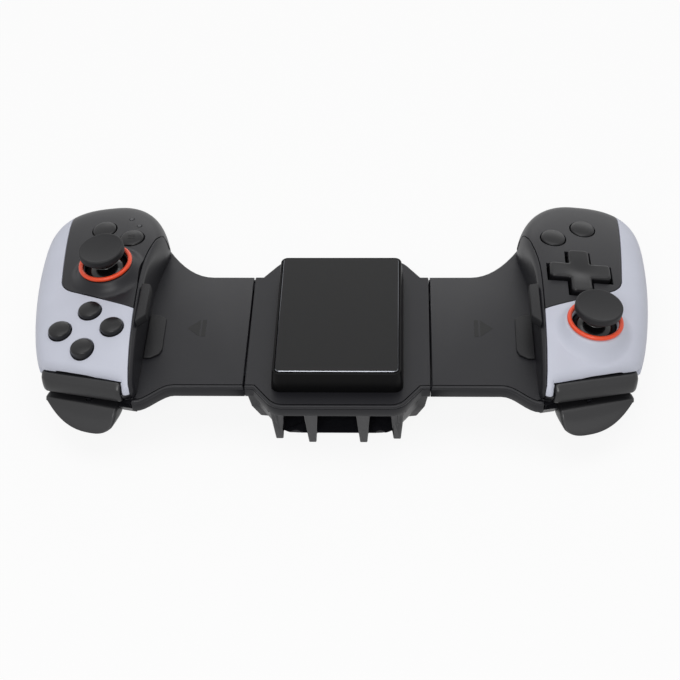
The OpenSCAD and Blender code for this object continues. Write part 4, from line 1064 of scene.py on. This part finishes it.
# %% Press the direction pad
profile = [(0.3, -2.2), (0, -1.9)]
profile += [(PAD_ROUND - r, PAD_PROUD - PAD_ROUND + z) for r, z in arc(0, 0, PAD_ROUND, 0, 80, 6)]
points = []
for inset, height in profile:
    points += [(p.x, p.y, height) for p in cross_outline(inset)]
block = bmesh.new()
corners = [block.verts.new(p) for p in points]
for face in bridge(len(profile), len(cross_outline(0)), caps=True):
    block.faces.new([corners[i] for i in face])
bmesh.ops.recalc_face_normals(block, faces=block.faces)
bmesh.ops.triangulate(block, faces=block.faces)
block.verts.index_update()
tris = np.array([[v.index for v in f.verts] for f in block.faces])
tags = np.array([f.normal.z > 0.999 for f in block.faces])
block.free()
points = np.array(points)
print(len(tris), "triangles before the dish")

# %% Dish the pad and seat it
PAD_FINE, PAD_DISH, DISH_WIDE, TIP_RISE, TIP_AT = 0.7, 0.55, 4, 0.12, 9
pad_base = float(face_w(*PAD_AT))
points, tris, tags = refined(points, tris, tags, PAD_FINE, rounds=5)
away = np.hypot(points[:, 0], points[:, 1])
high = np.clip((points[:, 2] - PAD_PROUD + PAD_ROUND) / PAD_ROUND, 0, 1)
sunk = PAD_DISH * np.exp(-(away / DISH_WIDE) ** 2) - TIP_RISE * np.clip(away / TIP_AT, 0, 1) ** 2
points[:, 2] -= high * sunk
points += np.array([*PAD_AT, pad_base])
pad = mesh_piece("direction_pad_cross", to_world(points, 1), tris, satin_key, 40)
print(len(tris), "triangles on the pad")

# %% [markdown]
# The pad rocks on a steel ball, so a socket is cut into its underside.

# %% Cut the pad's socket
SOCKET_R, SOCKET_MID = 1.9, -3.4
socket_profile = half_circle(SOCKET_R, SOCKET_MID, 17)
socket = lathe("pad_socket", socket_profile, PAD_AT, 1, brushed_steel, pad_base, 32)
seat(carve(pad, socket), "direction_pad")
print("pad carved to", len(pad.data.polygons), "faces")

# %% [markdown]
# A trigger is a leaf: thin at its outer tip, then a broad lip that curls out for the fingertip. Its
# cross-section changes all the way along, so it is a loft. Each section is eight points with a
# smooth closed curve through them, and both ends close over in a small dome.

# %% Sections of the trigger
TRIGGER_P, TRIGGER_LEN, LIP_OUT, LIP_PEAK, LIP_FALL = 6.0, 26.0, 7.6, 0.7, 0.36
TRIGGER_TOP, TIP_HIGH, ROOT_MORE, TIP_BACK, ROOT_BACK = -17.5, 0.8, 4.0, 3.2, 4.4
TIP_FRONT, FALL, TENSION = -0.2, 0.4, 0.42


def leaf(t):
    if t < LIP_PEAK:
        return 1 - (1 - t / LIP_PEAK) ** 2.2
    return math.sqrt(max(0, 1 - ((t - LIP_PEAK) / LIP_FALL) ** 3))


def trigger_section(x):
    t = 1 - x
    lip = LIP_OUT * leaf(t)
    height = TIP_HIGH + ROOT_MORE * math.sqrt(t)
    lip_height = TIP_HIGH + ROOT_MORE * leaf(t)
    back = TIP_BACK + ROOT_BACK * t
    edge = TIP_FRONT - FALL * t
    top = TRIGGER_TOP - FALL * t
    knots = [(edge, 0), (0.55 * back, 0), (back, -0.28 * height), (back, -0.62 * height),
             (0.35 * back - 0.25 * lip, -0.95 * height), (edge + 0.6 - lip, -lip_height),
             (edge - lip, -0.86 * lip_height), (edge - 0.46 * lip, -0.44 * lip_height)]
    return closed_curve(np.array(knots)) + np.array([0, top])


def closed_curve(knots, steps=6):
    a, b, c, d = np.roll(knots, 1, 0), knots, np.roll(knots, -1, 0), np.roll(knots, -2, 0)
    rows = []
    for t in np.arange(steps) / steps:
        rows.append(b + TENSION * (c - a) * (t - 2 * t ** 2 + t ** 3) + (3 * t ** 2 - 2 * t ** 3) * (c - b)
                    + TENSION * (d - b) * (t ** 3 - t ** 2))
    return np.stack(rows, 1).reshape(-1, 2)


print("a trigger section has", len(trigger_section(0.5)), "points")

# %% Loft the triggers
END_PART = 0.03
INNER_DOME = {0: 0.5, 0.004: 0.75, 0.012: 0.9, 0.024: 0.97}
OUTER_DOME = {0.985: 0.94, 0.995: 0.75, 1: 0.45}
BORE_Q, BORE_W, BORE_R, BORE_SPAN, LUG_SPAN = 3.4, -19.6, 1.25, (0, 17.6), (15.7, 17.9)


def front_loft(name, sign, rows, sharp):
    points = np.vstack([from_front(np.full(len(row), p), row[:, 0], row[:, 1]) for p, row in rows])
    faces = bridge(len(rows), len(rows[0][1]), caps=True)
    return outward(mesh_piece(name, to_world(points, sign), faces, satin_lever, sharp), sharp)


def domed(section, sizes):
    middle = section.mean(0)
    return [(x, middle + (section - middle) * size) for x, size in sizes.items()]


def trigger(side, sign):
    between = END_PART + (1 - 2 * END_PART) * (1 - np.cos(np.linspace(0, math.pi, 44))) / 2
    rows = domed(trigger_section(END_PART), INNER_DOME) + [(x, trigger_section(x)) for x in between]
    rows += domed(trigger_section(1 - END_PART), OUTER_DOME)
    rows = [(TRIGGER_P + TRIGGER_LEN * x, section) for x, section in rows]
    return front_loft(side + "_trigger_leaf", sign, rows, 50)


around = np.linspace(0, 2 * math.pi, 32, endpoint=False)
bore = np.stack([BORE_Q + BORE_R * np.cos(around), BORE_W + BORE_R * np.sin(around)], 1)
lug = np.array([(0.8, -40), (30, -40), (30, 0), (0.8, 0)], float)
for side, sign in SIDES.items():
    bore_cut = front_loft("bore_cut", sign, [(p, bore) for p in BORE_SPAN], 30)
    lug_cut = front_loft("lug_cut", sign, [(p, lug) for p in LUG_SPAN], 30)
    leaf_piece = carve(trigger(side, sign), bore_cut, lug_cut)
    seat(leaf_piece, side + "_trigger")
    print(side, "trigger", len(leaf_piece.data.polygons), "faces")

# %% [markdown]
# A bumper is a bar with one profile: an upright front, a broad chamfer along the top that catches
# the light, and a flat back. Its inner end is rounded over from the bottom corner, and its outer end
# follows an arc round the grip, so the sections are moved and scaled one by one before they are
# bridged.

# %% Loft the bumpers
BUMPER_P, BUMPER_LEN, BUMPER_LOW, BUMPER_BACK, BUMPER_ARC, BUMPER_MID = 3.6, 29.4, -15.2, 4.6, 3.0, 2.8
PIN_P, PIN_Q, PIN_R, PIN_LOW, PIN_HIGH = 5.6, 2.6, 1.15, BUMPER_LOW - 1, BUMPER_LOW + 3
bumper_profile = np.array([(BUMPER_BACK, 0), (0.75, 0), (0.32, 0.12), (0.08, 0.4), (0, 0.8), (0.12, 2.2),
                           (0.4, 3.4), (0.78, 4.4), (0.95, 4.72), (1.2, 4.98), (2.35, 5.9), (2.75, 6.12),
                           (3.2, 6.2), (BUMPER_BACK, 6.0)])
INNER_END = {0: 0.72, 0.12: 0.83, 0.4: 0.92, 0.8: 0.97, 1.4: 1}
OUTER_END = {0: 0.5, 0.1: 0.68, 0.3: 0.8, 0.65: 0.9, 1.2: 0.97, 2: 1}


def bumper_section(along):
    from_end = BUMPER_LEN - along
    inner = np.interp(along, list(INNER_END), list(INNER_END.values()))
    outer = np.interp(from_end, list(OUTER_END), list(OUTER_END.values()))
    turn = max(0, BUMPER_ARC - from_end)
    front = BUMPER_ARC - math.sqrt(BUMPER_ARC ** 2 - turn ** 2)
    q = BUMPER_BACK - (BUMPER_BACK - bumper_profile[:, 0]) * inner
    q = front + q * (BUMPER_BACK - front) / BUMPER_BACK
    w = bumper_profile[:, 1] * inner
    return np.stack([q, BUMPER_LOW + BUMPER_MID + (w - BUMPER_MID) * outer], 1)


ends = list(INNER_END) + [BUMPER_LEN - d for d in OUTER_END] + list(np.linspace(2, 27, 14))
rows = [(BUMPER_P + along, bumper_section(along)) for along in sorted(ends)]
pin = [(0, PIN_LOW), (PIN_R, PIN_LOW), (PIN_R, PIN_HIGH), (0, PIN_HIGH)]
pin_at = from_front(PIN_P, PIN_Q, 0)[:2]
for side, sign in SIDES.items():
    bar_piece = front_loft(side + "_bumper_bar", sign, rows, 40)
    carve(bar_piece, lathe("pin_cut", pin, pin_at, sign, brushed_steel, turns=32))
    seat(bar_piece, side + "_bumper")
    print(side, "bumper", len(bar_piece.data.polygons), "faces")

# %% [markdown]
# Screws, fins, fan blades and springs repeat a small shape or follow a path, so Geometry Nodes make
# them. Each tree has named inputs for its sizes, and short methods add the nodes that all trees use.

# %% Node trees that grow shapes


class Grower(Tree):
    def __init__(self, name, sizes):
        super().__init__(bpy.data.node_groups.new(name, "GeometryNodeTree"))
        door = self.tree.interface
        door.new_socket("Geometry", in_out="INPUT", socket_type="NodeSocketGeometry")
        for label in sizes:
            door.new_socket(label, in_out="INPUT", socket_type="NodeSocketFloat")
        door.new_socket("Geometry", in_out="OUTPUT", socket_type="NodeSocketGeometry")
        self.sizes = sizes
        self.size = self.node("NodeGroupInput").out

    def vector(self, x=0.0, y=0.0, z=0.0):
        return self.node("ShaderNodeCombineXYZ", None, {0: x, 1: y, 2: z})

    def cube(self, x, y, z, **cuts):
        counts = {"Vertices " + axis: count for axis, count in cuts.items()}
        return self.node("GeometryNodeMeshCube", None, {"Size": self.vector(x, y, z), **counts}).out("Mesh")

    def cylinder(self, corners, radius, depth):
        sizes = {"Vertices": corners, "Radius": radius, "Depth": depth}
        return self.node("GeometryNodeMeshCylinder", None, sizes).out("Mesh")

    def moved(self, shape, y=0.0, z=0.0):
        place = {"Geometry": shape, "Translation": self.vector(y=y, z=z)}
        return self.node("GeometryNodeTransform", None, place)

    def joined(self, *shapes):
        return self.node("GeometryNodeJoinGeometry", None, {0: list(shapes)})

    def on_points(self, points, shape, turn=(0, 0, 0)):
        sockets = {"Points": points, "Instance": shape, "Rotation": turn}
        return self.node("GeometryNodeInstanceOnPoints", None, sockets)

    def close(self, shape, material):
        whole = self.node("GeometryNodeRealizeInstances", None, {"Geometry": shape})
        dressed_up = self.node("GeometryNodeSetMaterial", None, {"Geometry": whole, "Material": material})
        self.node("NodeGroupOutput", None, {0: dressed_up})


print("trees have short methods for", [name for name in vars(Grower) if name[0] != "_"])

# %% [markdown]
# A tree grows on a mesh of seed points, which can carry a turn for each copy. The result is made a
# plain mesh, because an exported model keeps no modifiers.

# %% Grow a mesh from a node tree


def seed_points(name, points, turns):
    mesh = bpy.data.meshes.new(name)
    mesh.from_pydata([Vector(p) * MM for p in points], [], [])
    if turns is not None:
        turn = mesh.attributes.new("turn", "FLOAT_VECTOR", "POINT")
        turn.data.foreach_set("vector", np.array(turns, float).ravel())
    return mesh


def grown(name, tree, material, points=((0, 0, 0),), turns=None):
    seed = bpy.data.objects.new(name, seed_points(name + "_seed", points, turns))
    scene.collection.objects.link(seed)
    growth = seed.modifiers.new("grow", "NODES")
    growth.node_group = tree.tree
    for item in tree.tree.interface.items_tree:
        if item.in_out == "INPUT" and item.name in tree.sizes:
            growth[item.identifier] = tree.sizes[item.name]
    made = evaluated(seed)
    bpy.data.objects.remove(seed)
    return settle(name, made, material)


print("trees can be grown into plain meshes")

# %% [markdown]
# The screws are small pan heads with a cross recess, seen from underneath. The tree makes a head,
# cuts two bars out of it, adds the shank and sets the screw on every point. The points are read from
# the CAD screws: each one's island of vertices gives its place.

# %% Tree of a cross-head screw
screw = Grower("cross_head_screw", {"Head radius": 1.7 * MM, "Head height": 0.7 * MM,
                                    "Shank radius": 0.9 * MM, "Shank length": 3.6 * MM,
                                    "Recess width": 0.55 * MM})
size = screw.size
high = size("Head height")
wide, long = size("Recess width") * 1.1, size("Head radius") * 1.1
bars = [screw.cube(wide, long, high), screw.cube(long, wide, high)]
cross = screw.node("GeometryNodeMeshBoolean", {"operation": "UNION"}, {"Mesh 2": bars})
cross = screw.moved(cross, z=high * 0.6)
head = screw.cylinder(32, size("Head radius"), high)
head = screw.node("GeometryNodeMeshBoolean", {"operation": "DIFFERENCE"}, {"Mesh 1": head, "Mesh 2": cross})
shank = screw.cylinder(20, size("Shank radius"), size("Shank length"))
shank = screw.moved(shank, z=(high + size("Shank length")) * -0.49)
turn = screw.node("GeometryNodeInputNamedAttribute", {"data_type": "FLOAT_VECTOR"}, {"Name": "turn"})
driven = screw.on_points(size("Geometry"), screw.joined(head, shank), turn.out("Attribute"))
screw.close(driven, brushed_steel)
print("screw tree has", len(screw.tree.nodes), "nodes")

# %% Drive the screws
GRIP_X, HALF_HEAD = 64, 0.35


def islands(node):
    copy = bmesh.new()
    copy.from_mesh(nodes[node].data)
    bmesh.ops.remove_doubles(copy, verts=copy.verts, dist=2e-6)
    left = set(copy.verts)
    while left:
        group, edge = set(), [left.pop()]
        while edge:
            vert = edge.pop()
            group.add(vert)
            fresh = {e.other_vert(vert) for e in vert.link_edges} & left
            left -= fresh
            edge += fresh
        yield np.array([v.co for v in group]) / MM
    copy.free()


for node in ("centre_screws", "left_screws", "right_screws"):
    places, turns = [], []
    for cloud in islands(node):
        side = math.copysign(1, cloud[:, 0].mean())
        tilted = abs(cloud[:, 0].mean()) > GRIP_X
        axis = np.array([side * math.sin(LEAN), 0, math.cos(LEAN)]) if tilted else np.array([0, 0, 1])
        low = (cloud @ axis).min()
        middle = (cloud.max(0) + cloud.min(0)) / 2
        places.append(middle + axis * (low + HALF_HEAD - middle @ axis))
        turns.append((0, math.pi + side * LEAN if tilted else math.pi, 0))
    seat(grown(node + "_driven", screw, brushed_steel, places, turns), node)
    print(node, len(places), "screws")

# %% [markdown]
# The heat sink is an extrusion: a base with a row of thin fins. A line of points carries copies of
# one fin. Their pitch is worked out from the width and the count, so another count is one change.

# %% Grow the heat sink
FINS, SINK_Z = 12, 20.05
sink = Grower("finned_sink", {"Fin thickness": 1.0 * MM, "Fin height": 9.6 * MM, "Depth": 29.8 * MM,
                              "Width": 37.0 * MM, "Base": 2.5 * MM})
size = sink.size
fin = sink.cube(size("Fin thickness"), size("Depth"), size("Fin height"))
spread = size("Width") - size("Fin thickness")
first = sink.vector(spread * -0.5, z=size("Fin height") * -0.5)
pitch_out = sink.vector(spread * (1 / (FINS - 1)))
row = sink.node("GeometryNodeMeshLine", None, {"Count": FINS, "Start Location": first, "Offset": pitch_out})
base = sink.moved(sink.cube(size("Width"), size("Depth"), size("Base")), z=size("Base") * 0.49)
whole = sink.joined(sink.on_points(row, fin), base)
sink.close(sink.moved(whole, COOLER_Y * MM, SINK_Z * MM), fin_aluminium)
piece = seat(grown("heat_sink_fins", sink, fin_aluminium), "heat_sink")
print("heat sink", len(piece.data.polygons), "faces")

# %% [markdown]
# The fan has nine blades on a hub. One blade is a thin slab that Set Position pitches, bows and
# sweeps back, and a count of points at the centre turns a copy to each angle.

# %% Grow the fan
BLADES, HUB_R, FAN_R, FAN_Z, FAN_H, BOW, SWEEP = 9, 6.5, 16.8, 5.9, 4.2, 40.0, 18.0
fan = Grower("fan_blades", {"Blade length": (FAN_R - HUB_R) * MM, "Chord": 5.0 * MM, "Thickness": 0.7 * MM,
                            "Hub radius": HUB_R * MM, "Pitch": 0.62})
size = fan.size
slab = fan.cube(size("Blade length"), size("Chord"), size("Thickness"), X=9, Y=7)
here = fan.node("ShaderNodeSeparateXYZ", None, {0: fan.node("GeometryNodeInputPosition")})
across, along = here.out("Y"), here.out("X")
lifted = here.out("Z") + across * size("Pitch") - across * across * BOW
swept = across + along * along * SWEEP
shifted = along + (size("Hub radius") + size("Blade length") * 0.5 - 0.25 * MM)
bent = fan.vector(shifted, swept, lifted)
blade = fan.node("GeometryNodeSetPosition", None, {"Geometry": slab, "Position": bent})
ring = fan.node("GeometryNodeMeshLine", None, {"Count": BLADES, "Offset": (0, 0, 0)})
spin = fan.vector(z=fan.node("GeometryNodeInputIndex") * (2 * math.pi / BLADES))
blades = fan.on_points(ring, blade, spin)
fan.close(fan.moved(blades, COOLER_Y * MM, (FAN_Z + FAN_H / 2 + 0.2) * MM), satin_key)
vanes = grown("fan_vanes", fan, satin_key)
print("fan blades", len(vanes.data.polygons), "faces")

# %% Turn the hub and seat the rotor
SPINDLE_R, HUB_ROUND, HUB_CAP, HUB_TURNS, AXIS = 1.3, 0.5, 0.8, 48, 0.001
hub_top = FAN_Z + FAN_H
hub = [(SPINDLE_R, hub_top - HUB_CAP), (SPINDLE_R, FAN_Z), (HUB_R - 0.3, FAN_Z), (HUB_R, FAN_Z + 0.3)]
hub += arc(HUB_R - HUB_ROUND, hub_top - HUB_ROUND, HUB_ROUND, 0, 90, 5)
hub += [(AXIS, hub_top), (AXIS, hub_top - HUB_CAP)]
around = np.arange(HUB_TURNS) * 2 * math.pi / HUB_TURNS
points = [(r * math.cos(a), COOLER_Y + r * math.sin(a), z) for r, z in hub for a in around]
hub_piece = outward(mesh_piece("fan_hub", points, bridge(len(hub), HUB_TURNS, ring=True), satin_key), 35)
seat(vanes, "fan_rotor")
seat(hub_piece, "fan_rotor")
print("rotor", round(2 * FAN_R, 1), "mm across")

# %% [markdown]
# Each half is pulled home by a tension spring in its lane. A spiral curve with a round wire swept
# along it is the whole recipe. The spring is hooked to the centre at one end and to the arm of the
# slide at the other.

# %% Wind the springs
SPRING_LEN, SPRING_Z, SPRING_X, SPRING_SIDE = 13.8, 18.8, 14.35, 23.3
coil = Grower("tension_spring", {"Coil radius": 0.6 * MM, "Wire radius": 0.15 * MM,
                                 "Length": SPRING_LEN * MM})
size = coil.size
spiral = {"Resolution": 18, "Rotations": 11.0, "Height": size("Length"),
          "Start Radius": size("Coil radius"), "End Radius": size("Coil radius")}
path = coil.node("GeometryNodeCurveSpiral", None, spiral)
wire = coil.node("GeometryNodeCurvePrimitiveCircle", None, {"Resolution": 10, "Radius": size("Wire radius")})
wound = coil.node("GeometryNodeCurveToMesh", None, {"Curve": path, "Profile Curve": wire, "Fill Caps": True})
lying = coil.node("GeometryNodeTransform", None, {"Geometry": wound, "Rotation": (0, math.pi / 2, 0)})
coil.close(lying, brushed_steel)
for side, sign in SIDES.items():
    piece = grown(side + "_spring_coil", coil, brushed_steel)
    near_x, y = -sign * SPRING_X, COOLER_Y - sign * SPRING_SIDE
    far_x = -sign * (SPRING_X + SPRING_LEN)
    piece.data.transform(Matrix.Translation(Vector((min(near_x, far_x), y, SPRING_Z)) * MM))
    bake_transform(piece)
    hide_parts(side + "_return_spring")
    print(side, "spring", len(piece.data.polygons), "faces")

# %% [markdown]
# Printed marks are thin films of dark ink. An arrow on each wing says which way it pulls, and one
# function button has three short lines. Every mark is an outline with a few hundredths of a
# millimetre of thickness, so it has a body of its own and rides on what it is printed on.

# %% Print the marks
ARROW_TIP, ARROW_FOOT, ARROW_HIGH, ARROW_LOW = (51.2, -9.3), 47, -5.2, -13.3
TAIL_X, TAIL_HALF, LINE_HALF, LINE_GAP, LINE_SINK = 45.7, (0.7, 4.0), (1.15, 0.16), 0.8, 0.03


def film(name, body, shapes, height, side=None, thick=0.03):
    points, faces = [], []
    for shape in shapes:
        first, count = len(points), len(shape)
        points += [(x, y, height - thick) for x, y in shape]
        points += [(x, y, height + thick) for x, y in shape]
        faces += [[first + i for i in face] for face in bridge(2, count, caps=True)]
    ends = to_world(points, side) if side else points
    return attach(outward(mesh_piece(name, ends, faces, dark_print), 30), body)


def bar(x, y, half_x, half_y):
    corners = ((-1, -1), (1, -1), (1, 1), (-1, 1))
    return [(x + sx * half_x, y + sy * half_y) for sx, sy in corners]


for side, sign in SIDES.items():
    point = [ARROW_TIP, (ARROW_FOOT, ARROW_HIGH), (ARROW_FOOT, ARROW_LOW)]
    arrow = [[(sign * x, y) for x, y in point], bar(sign * TAIL_X, ARROW_TIP[1], *TAIL_HALF)]
    film(side + "_pull_arrow", side + "_half", arrow, DECK / MM)
lines_x, lines_y = FUNCTION_PLACES["inner"]
lines = [bar(lines_x, lines_y + step, *LINE_HALF) for step in (-LINE_GAP, 0, LINE_GAP)]
lines_w = float(face_w(lines_x, lines_y)) + FUNCTION_KEY["proud"] - LINE_SINK
film("function_lines", "left_function_inner", lines, lines_w, -1, 0.06)
print("arrows and lines printed")

# %% [markdown]
# The floor is a plain pale sheet. Light comes from one broad lamp overhead, a smaller one over the
# camera's shoulder that draws the broken corners as thin bright lines, and a low one behind. The
# camera sees white behind the object, and so do mirror rays, while the lamps stay at a plain level.

# %% Light the stage
FLOOR_GLOW, ROOM_GLOW = 0.9, 0.28


def white_rays(tree):
    rays = tree.node("ShaderNodeLightPath")
    return rays.out("Is Camera Ray") + rays.out("Is Glossy Ray") + rays.out("Is Transmission Ray")


floor_mesh = bpy.data.meshes.new("floor_sheet")
floor_mesh.from_pydata([(-3, -3, 0), (3, -3, 0), (3, 3, 0), (-3, 3, 0)], [], [(0, 1, 2, 3)])
paper = bpy.data.materials.new("white_paper")
paper.use_nodes = True
tree = Tree(paper.node_tree)
matte = tree.node("ShaderNodeBsdfDiffuse", None, {"Color": (0.86, 0.86, 0.86, 1)})
glow = tree.node("ShaderNodeEmission", None, {"Color": (1, 1, 1, 1), "Strength": 1.0})
mixed = tree.node("ShaderNodeMixShader", None, {0: white_rays(tree) * FLOOR_GLOW, 1: matte, 2: glow})
tree.node("ShaderNodeOutputMaterial", None, {"Surface": mixed})
floor_mesh.materials.append(paper)
floor = bpy.data.objects.new("floor_sheet", floor_mesh)
scene.collection.objects.link(floor)
print("floor laid")

# %% Hang the lamps


def lamp(name, place, target, size, power):
    light = bpy.data.lights.new(name, "AREA")
    light.shape = "RECTANGLE"
    light.size, light.size_y = size
    light.energy = power
    hung = bpy.data.objects.new(name, light)
    aim = (Vector(target) - Vector(place)).to_track_quat("-Z", "Y")
    hung.matrix_world = Matrix.Translation(place) @ aim.to_matrix().to_4x4()
    scene.collection.objects.link(hung)


lamp("over_lamp", (0, 0.1, 0.95), (0, 0, 0), (1.0, 0.7), 3.6)
lamp("shoulder_lamp", (-0.06, -0.64, 0.62), (0, 0, 0.02), (0.42, 0.24), 2.5)
lamp("back_lamp", (0.1, 0.9, 0.4), (0, 0, 0.02), (1.0, 0.3), 1.2)
world = bpy.data.worlds.new("white_room")
world.use_nodes = True
scene.world = world
tree = Tree(world.node_tree)
strength = white_rays(tree) * (1 - ROOM_GLOW) + ROOM_GLOW
air = tree.node("ShaderNodeBackground", None, {"Color": (1, 1, 1, 1), "Strength": strength})
tree.node("ShaderNodeOutputWorld", None, {"Surface": air})
scene.view_settings.view_transform = "Standard"
print("three lamps and a white room")
